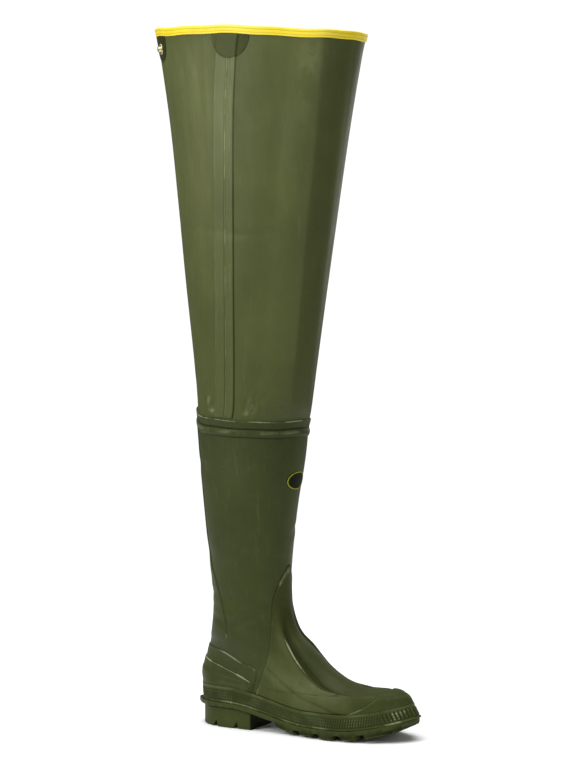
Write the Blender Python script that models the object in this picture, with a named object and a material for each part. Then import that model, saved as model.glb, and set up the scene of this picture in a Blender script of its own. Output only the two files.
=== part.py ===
"""A right-foot hip wader of vulcanised rubber: a cleated outsole and heel, a foot and leg shell,
a thigh shaft lapped into it at the knee, and the strips, bands and patches cured onto them.

Metres, +X towards the toe, +Y towards the wearer's left (the inner side of this right boot), +Z up.
The origin is on the floor, under the middle of the heel block.
"""

import functools
import math

import bmesh
import bpy
from mathutils import Vector

# Plan of the foot
FOOT_LENGTH = 0.318
HEEL_BACK = 0.047
BALL_WIDTH = 0.108
WAIST_WIDTH = 0.076
HEEL_WIDTH = 0.078

# Sole
SOLE_THICKNESS = 0.007
LUG_DEPTH = 0.006
HEEL_BLOCK = 0.026
HEEL_LENGTH = 0.09
TOE_SPRING = 0.018
SOLE_LEDGE = 0.0016
KICK_SPUR = 0.0035
LUG_PITCH = 0.031
TOE_BEVEL = 0.035
LUG_GROOVE = 0.008
HEEL_GROOVE = 0.005
HEEL_INSET = 0.004
INSOLE_THICKNESS = 0.003
INSOLE_PLAY = 0.002

# Foot and leg
TOE_HEIGHT = 0.0285
INSTEP_HEIGHT = 0.1055
ANKLE_HEIGHT = 0.185
ANKLE_DEPTH = 0.107
ANKLE_WIDTH = 0.0875
ANKLE_X = 0.0255
CALF_HEIGHT = 0.29
CALF_DEPTH = 0.127
CALF_WIDTH = 0.104
CALF_X = 0.024
KNEE_HEIGHT = 0.398
KNEE_DEPTH = 0.151
KNEE_WIDTH = 0.124
KNEE_X = 0.027

# Thigh
TOP_HEIGHT = 0.915
TOP_DEPTH = 0.297
TOP_WIDTH = 0.181
TOP_X = 0.0384
TOP_DIP = 0.004

# Rubber
LEG_WALL = 0.0026
THIGH_WALL = 0.0018
THIGH_LAP = 0.022
OVERLAY = 0.0009
FOXING_HEIGHT = 0.022
FOXING_THICKNESS = 0.0022
RIB_DEPTH = 0.0009
RIB_PITCH = 0.0075
BAND_HEIGHT = 0.011
BAND_THICKNESS = 0.0018
BINDING_HEIGHT = 0.0095
BINDING_THICKNESS = 0.0012
STRIP_WIDTH = 0.032
BEAD_WIDTH = 0.004
BEAD_HEIGHT = 0.0014
GAP = 0.0003

# Trim
PATCH_RADIUS = 0.0275
PATCH_DROP = 0.030
TAB_WIDTH = 0.034
TAB_LENGTH = 0.034
STUD_DIAMETER = 0.0145
STUD_HEIGHT = 0.0045
BADGE_WIDTH = 0.034
BADGE_HEIGHT = 0.021

# Counts and places
COLUMNS = 34
STRIP_COLUMNS = 10
RIBS_FROM = 12
BEAD_ROWS = 22
STUD_SIDES = 16
SEAM_FOOT_U = 0.2245
SEAM_U = 0.247
TAB_U = 0.094
BADGE_U = 0.487
BADGE_Z = 0.82
PATCH_OFFSET = 0.006
STUD_DROP = 0.016
BACK_STRIP_FOOT = 1.11
CAP_THICKNESS = 0.0013

# The sole's plan from heel to toe: half widths at each station, as shares of the half width named beside it
PLAN = (
    # station, width, outer side, inner side
    (0.00, "heel", 1.64, 1.62),
    (0.06, "heel", 1.60, 1.56),
    (0.13, "heel", 1.44, 1.38),
    (0.21, "heel", 1.24, 1.15),
    (0.36, "waist", 1.09, 0.84),
    (0.49, "waist", 1.18, 0.88),
    (0.62, "ball", 0.99, 0.85),
    (0.71, "ball", 1.09, 1.02),
    (0.80, "ball", 1.12, 1.15),
    (0.88, "ball", 1.10, 1.22),
    (0.94, "ball", 1.04, 1.20),
    (1.00, "ball", 0.96, 1.04),
)

# The foot's levels: back and front as shares of its length, the back line's height as a share of the way
# from the foxing to the ankle, the front line's height counted over foxing, toe, instep and ankle (0 to
# 3), half widths as shares of the width named, and the middle's sag as a share of the instep's height
FOOT = (
    # name, back, front, rise, up, width, outer, inner, last, sag
    ("toe roll", -0.009, 0.934, 0.10, 0.55, "ball", 0.98, 0.95, 0.82, 0.095),
    ("toe top", -0.001, 0.871, 0.19, 0.88, "ball", 0.92, 0.88, 0.60, 0.115),
    ("vamp", 0.009, 0.754, 0.285, 1.01, "ball", 0.87, 0.82, 0.30, 0.075),
    ("instep", 0.020, 0.636, 0.39, 1.34, "ball", 0.84, 0.80, 0.10, 0.040),
    ("throat", 0.037, 0.511, 0.54, 2.00, "ankle", 1.04, 1.02, 0.0, 0.0),
    ("ankle low", 0.047, 0.425, 0.73, 2.37, "ankle", 1.01, 1.01, 0.0, 0.0),
)

# The thigh's levels, as shares of the way from the knee's size to the top's
THIGH = (
    # name, rise, centre, depth, width
    ("thigh low", 0.08, 0.28, 0.07, 0.06),
    ("thigh", 0.36, 0.50, 0.33, 0.27),
    ("thigh top", 0.72, 0.85, 0.66, 0.62),
    ("thigh flare", 0.92, 0.97, 0.89, 0.88),
)

# Edges of the overlays in the side view: x as a share of the foot, z as a share of the instep's height
VAMP_EDGE = (
    # x, z
    (0.302, 0.47),
    (0.325, 0.63),
    (0.346, 0.78),
    (0.368, 0.93),
    (0.372, 1.10),
    (0.365, 1.27),
    (0.359, 1.54),
    (0.366, 1.63),
    (0.378, 1.74),
    (0.389, 1.86),
    (0.420, 2.02),
)
TOE_CAP_EDGE = (
    # x, z
    (0.700, 0.22),
    (0.748, 0.335),
    (0.790, 0.395),
    (0.822, 0.45),
    (0.850, 0.53),
    (0.868, 0.75),
)
COUNTER_LOW = (
    # x, z
    (-0.030, 0.88),
    (0.170, 0.735),
    (0.282, 0.595),
    (0.262, 0.47),
)
COUNTER_HIGH = (
    # x, z
    (-0.030, 1.02),
    (0.130, 0.965),
    (0.226, 0.855),
    (0.308, 0.750),
    (0.280, 0.47),
)
BACK_STRIP_EDGE = (
    # x, z
    (0.172, 1.05),
    (0.168, 1.25),
    (0.142, 1.55),
    (0.110, 1.82),
    (0.071, 2.08),
    (0.039, 2.56),
    (0.022, 3.33),
    (0.012, 4.20),
)

# The instep's rib on each side: level, and how far round the boot it lies
BEAD = (
    # level, u
    (6.85, 0.408),
    (6.20, 0.389),
    (5.60, 0.375),
    (4.60, 0.360),
    (3.60, 0.353),
    (2.80, 0.356),
    (2.35, 0.366),
)
BEAD_LINE = sorted(BEAD)

# The stud's turned outline: radius as a share of its half diameter, height as a share of its height
STUD = (
    # radius, height
    (0.94, 0.0),
    (1.0, 0.12),
    (0.94, 0.26),
    (0.70, 0.22),
    (0.46, 0.30),
    (0.46, 0.52),
    (0.56, 0.66),
    (0.50, 0.88),
    (0.26, 1.0),
)

PLAN_WIDTHS = {"heel": HEEL_WIDTH / 2, "waist": WAIST_WIDTH / 2, "ball": BALL_WIDTH / 2}

FOXING_OUT = GAP + FOXING_THICKNESS + RIB_DEPTH
SOLE_EDGE = FOXING_OUT + SOLE_LEDGE
TREAD_FROM = 0.40
LEVELS = {}


def smooth(low, high, value):
    """0 below low, 1 above high and an S curve between."""
    share = min(max((value - low) / (high - low), 0.0), 1.0)
    return share * share * (3 - 2 * share)


def curve(rows, value):
    """A smooth curve through (place, height) rows, by cubic Hermite spans."""
    last = len(rows) - 1
    index = 0
    while index < last - 1 and value > rows[index + 1][0]:
        index += 1
    (x0, y0), (x1, y1) = rows[index], rows[index + 1]

    def slope(at):
        before, after = rows[max(at - 1, 0)], rows[min(at + 1, last)]
        return (after[1] - before[1]) / (after[0] - before[0])

    span = x1 - x0
    share = min(max((value - x0) / span, 0.0), 1.0)
    square, cube = share**2, share**3
    return (
        y0 * (2 * cube - 3 * square + 1)
        + slope(index) * span * (cube - 2 * square + share)
        + y1 * (3 * square - 2 * cube)
        + slope(index + 1) * span * (cube - square)
    )


PLAN_OUTER = [(row[0], row[2] * PLAN_WIDTHS[row[1]]) for row in PLAN]
PLAN_INNER = [(row[0], row[3] * PLAN_WIDTHS[row[1]]) for row in PLAN]


def sole_top(x):
    """Height of the sole's upper face: up at the heel, down at the ball and up again at the toe."""
    heel_front = 0.52 * HEEL_LENGTH - HEEL_BACK + HEEL_INSET
    ball = 0.555 * FOOT_LENGTH - HEEL_BACK
    toe = FOOT_LENGTH - HEEL_BACK
    lift = (HEEL_BLOCK - LUG_DEPTH) * (1 - smooth(heel_front, ball, x))
    spring_from = 0.70 * FOOT_LENGTH - HEEL_BACK
    spring = TOE_SPRING * max(0.0, (x - spring_from) / (toe - spring_from)) ** 1.6
    return LUG_DEPTH + SOLE_THICKNESS + lift + spring


def foot_x(share):
    """A place along the upper's foot, from 0 at its heel to 1 at its toe."""
    back = SOLE_EDGE - HEEL_BACK
    front = FOOT_LENGTH - HEEL_BACK - SOLE_EDGE
    return back + (front - back) * share


def mix(low, high, share):
    """The value at a share of the way from low to high."""
    return low + (high - low) * share


def leg_ring(centre, depth, width, height, tilt=0.0):
    """A level of the leg or thigh: an oval tube, its front higher by tilt. The columns of a level are
    the x of its back and front lines, their heights, its half widths on the outer and inner side, how
    far its plan keeps the last's, how far its middle hangs down, and how far it follows the sole."""
    back, front = centre - depth / 2, centre + depth / 2
    return (back, front, height - tilt / 2, height + tilt / 2, width / 2, width / 2, 0.0, 0.0, 0.0)


def foot_rings():
    """The levels of the foot, each on a slant from the heel's back line to the instep's front line."""
    halves = {"ball": BALL_WIDTH / 2 - SOLE_EDGE, "ankle": ANKLE_WIDTH / 2}
    heel = sole_top(0.0) + GAP + FOXING_HEIGHT
    toe_edge = sole_top(FOOT_LENGTH - HEEL_BACK) + GAP
    toe = toe_edge + FOXING_HEIGHT * 0.95
    climb = [toe, toe_edge + TOE_HEIGHT, INSTEP_HEIGHT, ANKLE_HEIGHT]
    ball = halves["ball"]
    edge = (foot_x(0), foot_x(1), GAP, GAP, ball, ball, 1.0, 0.0, 1.0)
    foxing = (foot_x(-0.004), foot_x(0.968), FOXING_HEIGHT, toe - toe_edge, ball * 1.02, ball, 0.97, 0.0, 1.0)
    made = [("edge", edge), ("foxing", foxing)]
    for name, back, front, rise, up, width, outer, inner, last, sag in FOOT:
        step = min(int(up), 2)
        z_front = mix(climb[step], climb[step + 1], up - step)
        z_back = mix(heel, ANKLE_HEIGHT, rise)
        half = halves[width]
        ends = (foot_x(back), foot_x(front), z_back, z_front)
        made.append((name, (*ends, half * outer, half * inner, last, -sag * INSTEP_HEIGHT, 0.0)))
    return made


def rings():
    """The boot's levels from the sole's line to the top, by name."""
    thigh = TOP_HEIGHT - KNEE_HEIGHT
    made = foot_rings()
    made.append(("ankle", leg_ring(ANKLE_X, ANKLE_DEPTH, ANKLE_WIDTH, ANKLE_HEIGHT, 0.004)))
    made.append(("calf", leg_ring(CALF_X, CALF_DEPTH, CALF_WIDTH, CALF_HEIGHT)))
    made.append(("knee", leg_ring(KNEE_X, KNEE_DEPTH, KNEE_WIDTH, KNEE_HEIGHT)))
    for name, rise, centre, depth, width in THIGH:
        made.append(
            (
                name,
                leg_ring(
                    mix(KNEE_X, TOP_X, centre),
                    mix(KNEE_DEPTH, TOP_DEPTH, depth),
                    mix(KNEE_WIDTH, TOP_WIDTH, width),
                    KNEE_HEIGHT + thigh * rise,
                    -TOP_DIP * rise,
                ),
            )
        )
    made.append(("top", leg_ring(TOP_X, TOP_DEPTH, TOP_WIDTH, TOP_HEIGHT - BINDING_THICKNESS, -TOP_DIP)))
    return tuple(made)


RINGS = rings()
for number, (ring_name, _) in enumerate(RINGS):
    LEVELS[ring_name] = number
RING_CURVES = [
    [(number, row[column]) for number, (_, row) in enumerate(RINGS)] for column in range(9)
]


def plan_half(share, side, last):
    """Half width at a share of a level's length: an oval, or the last's plan, or a mix of them."""
    oval = 2 * math.sqrt(max(share * (1 - share), 0.0))
    rows = PLAN_OUTER if side < 0 else PLAN_INNER
    return oval * ((1 - last) + last * curve(rows, share) / (BALL_WIDTH / 2))


def surface(u, level):
    """A point of the boot's outer face. u runs once round from the back line, by the outer side
    (0.25) and the front (0.5) to the inner side (0.75); level counts up the rings."""
    back, front, z_back, z_front, outer, inner, last, sag, follow = (
        curve(rows, level) for rows in RING_CURVES
    )
    share = (1 - math.cos(2 * math.pi * u)) / 2
    side = -1 if math.sin(2 * math.pi * u) > 0 else 1
    x = back + (front - back) * share
    half = outer if side < 0 else inner
    y = side * half * plan_half(share, side, min(max(last, 0.0), 1.0))
    follow = min(max(follow, 0.0), 1.0)
    z = z_back + (z_front - z_back) * share + sag * 4 * share * (1 - share) + follow * sole_top(x)
    return Vector((x, y, z))


def normal(u, level):
    """The outer face's outward normal."""
    step_u, step_level = 0.002, 0.02
    low, high = max(level - step_level, 0.0), min(level + step_level, len(RINGS) - 1.0)
    round_it = surface(u + step_u, level) - surface(u - step_u, level)
    up_it = surface(u, high) - surface(u, low)
    return round_it.cross(up_it).normalized()


def lifted(u, level, lift):
    """A point at a distance from the outer face: out if positive, into the boot if negative. Near
    the sole it moves sideways and keeps its height over the sole's line."""
    point = surface(u, level)
    follow = min(max(curve(RING_CURVES[8], level), 0.0), 1.0)
    way = normal(u, level)
    way.z *= 1 - follow
    moved = point + way.normalized() * lift
    moved.z += follow * (sole_top(moved.x) - sole_top(point.x))
    return moved


GRID = [0, 1, 1.5, 2, 2.5, 3, 4, 5, 5.5, 6, 6.5, 7, 8, 8.5, 9, LEVELS["knee"]]
GRID += [LEVELS["knee"] + (LEVELS["top"] - LEVELS["knee"]) * number / 6 for number in range(1, 7)]


@functools.lru_cache(maxsize=None)
def corner(column, row, lift):
    """A corner of the boot's own facets, at a distance from its outer face."""
    return lifted(column / COLUMNS, GRID[row], lift)


def skin(u, level, lift):
    """A point at a distance from the boot's facets, so that what is cured onto it hugs them."""
    column = math.floor(u * COLUMNS + 1e-9)
    across = u * COLUMNS - column
    row = max(number for number, height in enumerate(GRID[:-1]) if height <= level + 1e-9)
    up = (level - GRID[row]) / (GRID[row + 1] - GRID[row])
    lift = round(lift, 6)
    here, there = column % COLUMNS, (column + 1) % COLUMNS
    low, far = corner(here, row, lift), corner(there, row + 1, lift)
    if across >= up:
        side = corner(there, row, lift)
        return low + (side - low) * across + (far - side) * up
    side = corner(here, row + 1, lift)
    return low + (side - low) * up + (far - side) * across


def level_at(height, u=0.25):
    """The level at which the facets pass a height at u, by halving."""
    low, high = 0.0, len(RINGS) - 1.0
    for _ in range(30):
        middle = (low + high) / 2
        if skin(u, middle, 0.0).z < height:
            low = middle
        else:
            high = middle
    return (low + high) / 2


def above(level, metres, u=0.25):
    """The level that lies some metres above another, or below it if negative."""
    return level_at(skin(u, level, 0.0).z + metres, u)


def round_step(level, u):
    """Metres round the boot for each unit of u, at this place."""
    step = 0.004
    return (surface(u + step, level) - surface(u - step, level)).length / (2 * step)


def make_material(name, colour, roughness, metallic=0.0):
    """A Principled surface of one colour."""
    material = bpy.data.materials.new(name)
    material.use_nodes = True
    shader = material.node_tree.nodes["Principled BSDF"]
    shader.inputs["Base Color"].default_value = (*colour, 1.0)
    shader.inputs["Roughness"].default_value = roughness
    shader.inputs["Metallic"].default_value = metallic
    return material


def make_object(name, points, faces, material, sharp=35):
    """A named object from points and faces, smooth but for edges sharper than an angle."""
    mesh = bpy.data.meshes.new(name)
    mesh.from_pydata([tuple(point) for point in points], [], faces)
    mesh.validate()
    edit = bmesh.new()
    edit.from_mesh(mesh)
    bmesh.ops.recalc_face_normals(edit, faces=edit.faces)
    edit.to_mesh(mesh)
    edit.free()
    mesh.shade_smooth()
    mesh.set_sharp_from_angle(angle=math.radians(sharp))
    mesh.materials.append(material)
    made = bpy.data.objects.new(name, mesh)
    bpy.context.scene.collection.objects.link(made)
    return made


def shell(name, material, place, rows, columns, inside, outside, closed=True):
    """A solid between two faces that lie along the boot: place(a, b) gives (u, level) for the shares in
    columns, running round, and in rows, running up; inside and outside give the lifts at (a, b). A
    closed shell runs all the way round, so its last column is its first."""
    count = len(columns)
    points = []
    for lift in (inside, outside):
        for row in rows:
            for column in columns:
                points.append(skin(*place(column, row), lift(column, row)))
    faces = []
    layer = len(rows) * count
    spans = range(count if closed else count - 1)

    def at(sheet, row, column):
        return sheet * layer + row * count + column % count

    for row in range(len(rows) - 1):
        for column in spans:
            for sheet in (0, 1):
                low, far = at(sheet, row, column), at(sheet, row + 1, column + 1)
                faces.append((low, at(sheet, row, column + 1), far))
                faces.append((low, far, at(sheet, row + 1, column)))
    for column in spans:
        for row in (0, len(rows) - 1):
            low = (at(0, row, column), at(0, row, column + 1))
            faces.append((*low, at(1, row, column + 1), at(1, row, column)))
    if not closed:
        for row in range(len(rows) - 1):
            for column in (0, count - 1):
                low = (at(0, row, column), at(0, row + 1, column))
                faces.append((*low, at(1, row + 1, column), at(1, row, column)))
    return make_object(name, points, faces, material)


def steps(count):
    """Even shares from 0 to 1."""
    return [number / count for number in range(count + 1)]


def constant(value):
    """A lift that is the same everywhere."""
    return lambda a, b: value


def straight(a, b):
    """The place of a shell whose columns and rows are u and level themselves."""
    return a, b


AROUND = [number / COLUMNS for number in range(COLUMNS)]


def grid_rows(low, high):
    """The boot's own rows between two levels, with the two levels themselves."""
    return [low] + [height for height in GRID if low + 0.02 < height < high - 0.02] + [high]


def prism(outline, material):
    """A cutter right across the boot, from its outline in the side view."""
    reach = TOP_WIDTH
    points = [(x, -reach, z) for x, z in outline] + [(x, reach, z) for x, z in outline]
    count = len(outline)
    faces = [tuple(range(count)), tuple(range(count, 2 * count))]
    for number in range(count):
        after = (number + 1) % count
        faces.append((number, after, count + after, count + number))
    return make_object("prism", points, faces, material)


def side_view(edge):
    """An overlay's edge in metres, from its table of shares."""
    return [(foot_x(x), z * INSTEP_HEIGHT) for x, z in edge]


def overlay(name, material, low, high, inside, outside, outline):
    """A sheet cured onto the boot, cut from a shell right round it by an outline in the side view."""
    sheet = shell(name, material, straight, grid_rows(low, high), AROUND, constant(inside), constant(outside))
    boolean(sheet, prism(outline, material), "INTERSECT")
    return sheet


def ribbon(name, material, rows, centre, half, profile, inside):
    """A strip up the boot, with its middle at centre(level), half(level) of u to each side, and a
    profile of (share across, height) points over its inner lift."""
    heights = dict(profile)

    def place(a, b):
        return (centre(b) + (2 * a - 1) * half(b)) % 1.0, b

    def outside(a, b):
        return inside + heights[a]

    return shell(name, material, place, rows, list(heights), constant(inside), outside, False)


def half_width(centre, width):
    """Half of a strip's width in metres, as u at each level."""
    return lambda level: width / 2 / round_step(level, centre(level))


def local(u, level):
    """Turns metres round and up from a place on the boot into (u, level)."""
    round_it = round_step(level, u)
    return lambda across, up: ((u + across / round_it) % 1.0, above(level, up, u))


def sticker(name, material, where, half_width, low, high, inside, thickness, rows=8, columns=8):
    """A patch cured on at a place: half_width(up) gives its half width at a height, in metres."""

    def place(a, b):
        up = mix(low, high, b)
        return where((2 * a - 1) * half_width(up), up)

    def inner(a, b):
        up = mix(low, high, b)
        return inside((2 * a - 1) * half_width(up))

    def outer(a, b):
        return inner(a, b) + thickness

    heights = [(1 - math.cos(math.pi * share)) / 2 for share in steps(rows)]
    return shell(name, material, place, heights, steps(columns), inner, outer, False)


def slab(name, material, outline, shares, top, bottom):
    """A solid under the foot: outline(share) gives (x, outer y, inner y), and top(x) and bottom(x)
    the heights of its two faces."""
    points, faces = [], []
    for share in shares:
        x, outer_y, inner_y = outline(share)
        points += [
            (x, outer_y, bottom(x)),
            (x, inner_y, bottom(x)),
            (x, inner_y, top(x)),
            (x, outer_y, top(x)),
        ]
    for number in range(len(shares) - 1):
        here, there = 4 * number, 4 * number + 4
        for corner in range(4):
            after = (corner + 1) % 4
            faces.append((here + corner, here + after, there + after, there + corner))
    end = 4 * (len(shares) - 1)
    faces.append((0, 1, 2, 3))
    faces.append((end, end + 1, end + 2, end + 3))
    return make_object(name, points, faces, material, 30)


def sole_outline(out, spur=0.0):
    """The plan of a piece of the sole, standing out from the upper's lower edge by a distance."""

    def outline(share):
        u = math.acos(1 - 2 * share) / (2 * math.pi)
        sides = []
        for turn in (u, 1 - u):
            point = surface(turn, 0.0)
            way = normal(turn, 0.0)
            flat = Vector((way.x, way.y, 0)).normalized()
            reach = out + spur * math.exp(-((u / 0.05) ** 2))
            sides.append(point + flat * reach)
        x = (sides[0].x + sides[1].x) / 2
        return x, sides[0].y, sides[1].y

    return outline


def heel_to_toe(first, last, count):
    """Shares of the foot's length, closer together at a round end."""
    start = math.acos(1 - 2 * first)
    finish = math.acos(1 - 2 * last)
    return [(1 - math.cos(start + (finish - start) * step)) / 2 for step in steps(count)]


def boolean(body, cutter, operation):
    """Cuts the body with the cutter, and then removes the cutter."""
    modifier = body.modifiers.new("cut", "BOOLEAN")
    modifier.operation = operation
    modifier.solver = "EXACT"
    modifier.object = cutter
    bpy.context.view_layer.objects.active = body
    bpy.ops.object.modifier_apply(modifier=modifier.name)
    bpy.data.objects.remove(cutter)


def groove(x, width, sweep, low, high, material):
    """A chevron bar across the sole, its middle swept towards the toe."""
    reach = BALL_WIDTH
    line = [(x, -reach), (x + sweep, 0.0), (x, reach)]
    front = [(px + width, py) for px, py in reversed(line)]
    plan = line + front
    points = [(px, py, low) for px, py in plan] + [(px, py, high) for px, py in plan]
    count = len(plan)
    faces = [tuple(range(count)), tuple(range(count, 2 * count))]
    for number in range(count):
        after = (number + 1) % count
        faces.append((number, after, count + after, count + number))
    return make_object("groove", points, faces, material)


def share_at(outline, x):
    """The share of an outline's length at which it passes x."""
    low, high = 0.0, 1.0
    for _ in range(40):
        middle = (low + high) / 2
        if outline(middle)[0] < x:
            low = middle
        else:
            high = middle
    return (low + high) / 2


def build_outsole(rubber):
    """The outsole: a shank that bridges the arch, and chevron cleats cut in its forefoot."""
    outline = sole_outline(SOLE_EDGE, KICK_SPUR)
    tread_x = foot_x(TREAD_FROM)
    shares = heel_to_toe(0.0015, 0.9985, COLUMNS // 2)
    edge = share_at(outline, tread_x)
    shares = sorted([share for share in shares if abs(share - edge) > 0.01] + [edge - 0.004, edge + 0.004])

    toe = FOOT_LENGTH - HEEL_BACK

    def bottom(x):
        bevel = smooth(toe - TOE_BEVEL, toe, x)
        return sole_top(x) - SOLE_THICKNESS - (LUG_DEPTH * (1 - bevel) if x > tread_x else 0.0)

    sole = slab("outsole", rubber, outline, shares, sole_top, bottom)
    cutters = []
    x = tread_x + LUG_PITCH - LUG_GROOVE
    while x + LUG_GROOVE < toe - LUG_GROOVE:
        depth = sole_top(x + LUG_GROOVE / 2) - SOLE_THICKNESS
        cutters.append(groove(x, LUG_GROOVE, 0.012, -0.01, depth, rubber))
        x += LUG_PITCH
    for cutter in cutters:
        boolean(sole, cutter, "DIFFERENCE")
    return sole


def build_heel(rubber):
    """The heel block, flat under the foot, with two grooves across its tread."""
    outline = sole_outline(SOLE_EDGE - HEEL_INSET)
    front = share_at(outline, HEEL_LENGTH - HEEL_BACK)
    shares = heel_to_toe(0.0015, front, 12)
    block = slab(
        "heel", rubber, outline, shares, lambda x: sole_top(x) - SOLE_THICKNESS - 2 * GAP, lambda x: 0.0
    )
    cutters = []
    for share in (0.34, 0.70):
        x = share * HEEL_LENGTH - HEEL_BACK - HEEL_GROOVE / 2
        cutters.append(groove(x, HEEL_GROOVE, 0.004, -0.01, LUG_DEPTH * 0.75, rubber))
    for cutter in cutters:
        boolean(block, cutter, "DIFFERENCE")
    return block


def build_insole(cloth):
    """The insole, lying on the outsole inside the upper's lower edge."""
    outline = sole_outline(-LEG_WALL - INSOLE_PLAY)
    shares = [(1 - math.cos(2 * math.pi * u)) / 2 for u in AROUND[1 : COLUMNS // 2]]
    return slab(
        "insole",
        cloth,
        outline,
        shares,
        lambda x: sole_top(x) + GAP + INSOLE_THICKNESS,
        lambda x: sole_top(x) + GAP,
    )


def build_upper(rubber):
    """The foot and leg: one shell, open underneath and at the knee."""
    rows = grid_rows(0.0, LEVELS["knee"])
    return shell("upper", rubber, straight, rows, AROUND, constant(-LEG_WALL), constant(0.0))


def build_thigh(rubber):
    """The thigh shaft: a thinner tube, stepped in at its foot so that it laps inside the leg."""
    knee = LEVELS["knee"]
    seam = above(knee, GAP)
    rows = [above(knee, -THIGH_LAP), seam] + grid_rows(above(seam, GAP + LEG_WALL), LEVELS["top"])

    def outside(a, b):
        return -(LEG_WALL + GAP) if b <= seam else 0.0

    def inside(a, b):
        return outside(a, b) - THIGH_WALL

    return shell("thigh_shaft", rubber, straight, rows, AROUND, inside, outside)


def build_foxing(rubber):
    """The strip round the foot's lower edge: a bead along each border, and upright ribs at the toe."""
    columns = []
    ridges = set()
    for number in range(COLUMNS):
        u = number / COLUMNS
        span = round_step(0.5, u + 0.5 / COLUMNS) / COLUMNS
        at_toe = RIBS_FROM <= number < COLUMNS - RIBS_FROM
        ribs = max(round(span / RIB_PITCH), 1) if at_toe else 1
        for rib in range(ribs):
            columns.append(u + rib / ribs / COLUMNS)
            if at_toe:
                columns.append(u + (rib + 0.5) / ribs / COLUMNS)
                ridges.add(columns[-1])
    rows = (0.0, 0.12, 0.20, 0.84, 0.90, 1.0)
    proud = GAP + FOXING_THICKNESS

    def outside(a, b):
        if b in (0.0, 0.12):
            return proud + RIB_DEPTH
        if b in (0.90, 1.0):
            return proud + RIB_DEPTH * 0.6
        return proud + (RIB_DEPTH if a in ridges else 0.0)

    return shell("foxing", rubber, straight, rows, columns, constant(GAP), outside)


def build_vamp(rubber):
    """The vamp: a sheet over the forefoot and up the shin, in front of an edge on each side."""
    low = above(LEVELS["foxing"], GAP, 0.5)
    far = FOOT_LENGTH
    edge = side_view(VAMP_EDGE)
    outline = [(far, 0.0), (edge[0][0], 0.0)] + edge + [(far, edge[-1][1])]
    return overlay("vamp", rubber, low, LEVELS["calf"], GAP, GAP + OVERLAY, outline)


def build_toe_cap(rubber):
    """The toe cap, over the vamp's front end."""
    low = above(LEVELS["foxing"], 1.5 * GAP, 0.5)
    far = FOOT_LENGTH
    edge = side_view(TOE_CAP_EDGE)
    outline = [(far, 0.0)] + edge + [(far, edge[-1][1])]
    inside = 2 * GAP + OVERLAY
    return overlay("toe_cap", rubber, low, LEVELS["vamp"], inside, inside + CAP_THICKNESS, outline)


def build_counter(name, rubber, edge, order):
    """A counter sheet round the heel, its top edge falling towards the waist; order counts the sheets."""
    low = above(LEVELS["foxing"], (1 + order * 0.5) * GAP)
    heel = -FOOT_LENGTH
    line = side_view(edge)
    outline = [(heel, 0.0), (line[-1][0], 0.0)] + line[::-1] + [(heel, line[0][1])]
    inside = GAP + order * (GAP + OVERLAY)
    return overlay(name, rubber, low, LEVELS["ankle"], inside, inside + OVERLAY, outline)


def build_bead(name, rubber, side):
    """A raised rib along the instep, from the ankle down to the toe cap; side is 1 outer, -1 inner."""
    first, last = BEAD[0][0], BEAD[-1][0]
    rows = [mix(last, first, share) for share in steps(BEAD_ROWS)]
    inside = 2 * GAP + OVERLAY
    profile = ((0.0, BEAD_HEIGHT * 0.15), (0.3, BEAD_HEIGHT), (0.7, BEAD_HEIGHT), (1.0, BEAD_HEIGHT * 0.15))

    def centre(level):
        return 0.5 + side * (curve(BEAD_LINE, level) - 0.5)

    return ribbon(name, rubber, rows, centre, half_width(centre, BEAD_WIDTH), profile, inside)


def build_band(name, rubber, height, thickness):
    """A raised band round the knee, centred at a height above the knee's line."""
    knee = LEVELS["knee"]
    half = BAND_HEIGHT / 2
    rows = [above(knee, height + share * half) for share in (-1.0, -0.6, 0.6, 1.0)]

    def outside(a, b):
        edge = b in (rows[0], rows[-1])
        return GAP + thickness * (0.35 if edge else 1.0)

    return shell(name, rubber, straight, rows, AROUND, constant(GAP), outside)


def flat_profile():
    """A sheet's section across: its full thickness, thinner along its two borders."""
    return [(share, OVERLAY * (0.6 if share in (0.0, 1.0) else 1.0)) for share in steps(STRIP_COLUMNS)]


def build_back_strip(rubber):
    """The strip up the back of the leg, from the counters to the knee band, wider at the ankle."""
    low = level_at(BACK_STRIP_FOOT * INSTEP_HEIGHT, 0.0)
    high = above(LEVELS["knee"], -BAND_HEIGHT - 3 * GAP)
    edge = side_view(BACK_STRIP_EDGE)
    heel = -FOOT_LENGTH
    outline = edge + [(heel, edge[-1][1]), (heel, edge[0][1])]
    return overlay("back_strip", rubber, low, high, GAP, GAP + OVERLAY, outline)


def seam_centre(level):
    """The side seam's place round the thigh: it leans forward as it climbs."""
    rise = (level - LEVELS["knee"]) / (LEVELS["top"] - LEVELS["knee"])
    return mix(SEAM_FOOT_U, SEAM_U, max(rise, 0.0) ** 0.75)


def build_seam_strip(rubber):
    """The tape over the thigh's side seam, from the knee band to under the collar's binding."""
    knee, top = LEVELS["knee"], LEVELS["top"]
    low = above(knee, BAND_HEIGHT + 3 * GAP)
    high = above(top, -BINDING_HEIGHT - GAP)
    rows = grid_rows(low, high)
    half = half_width(seam_centre, STRIP_WIDTH)
    return ribbon("seam_strip", rubber, rows, seam_centre, half, flat_profile(), GAP)


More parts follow.
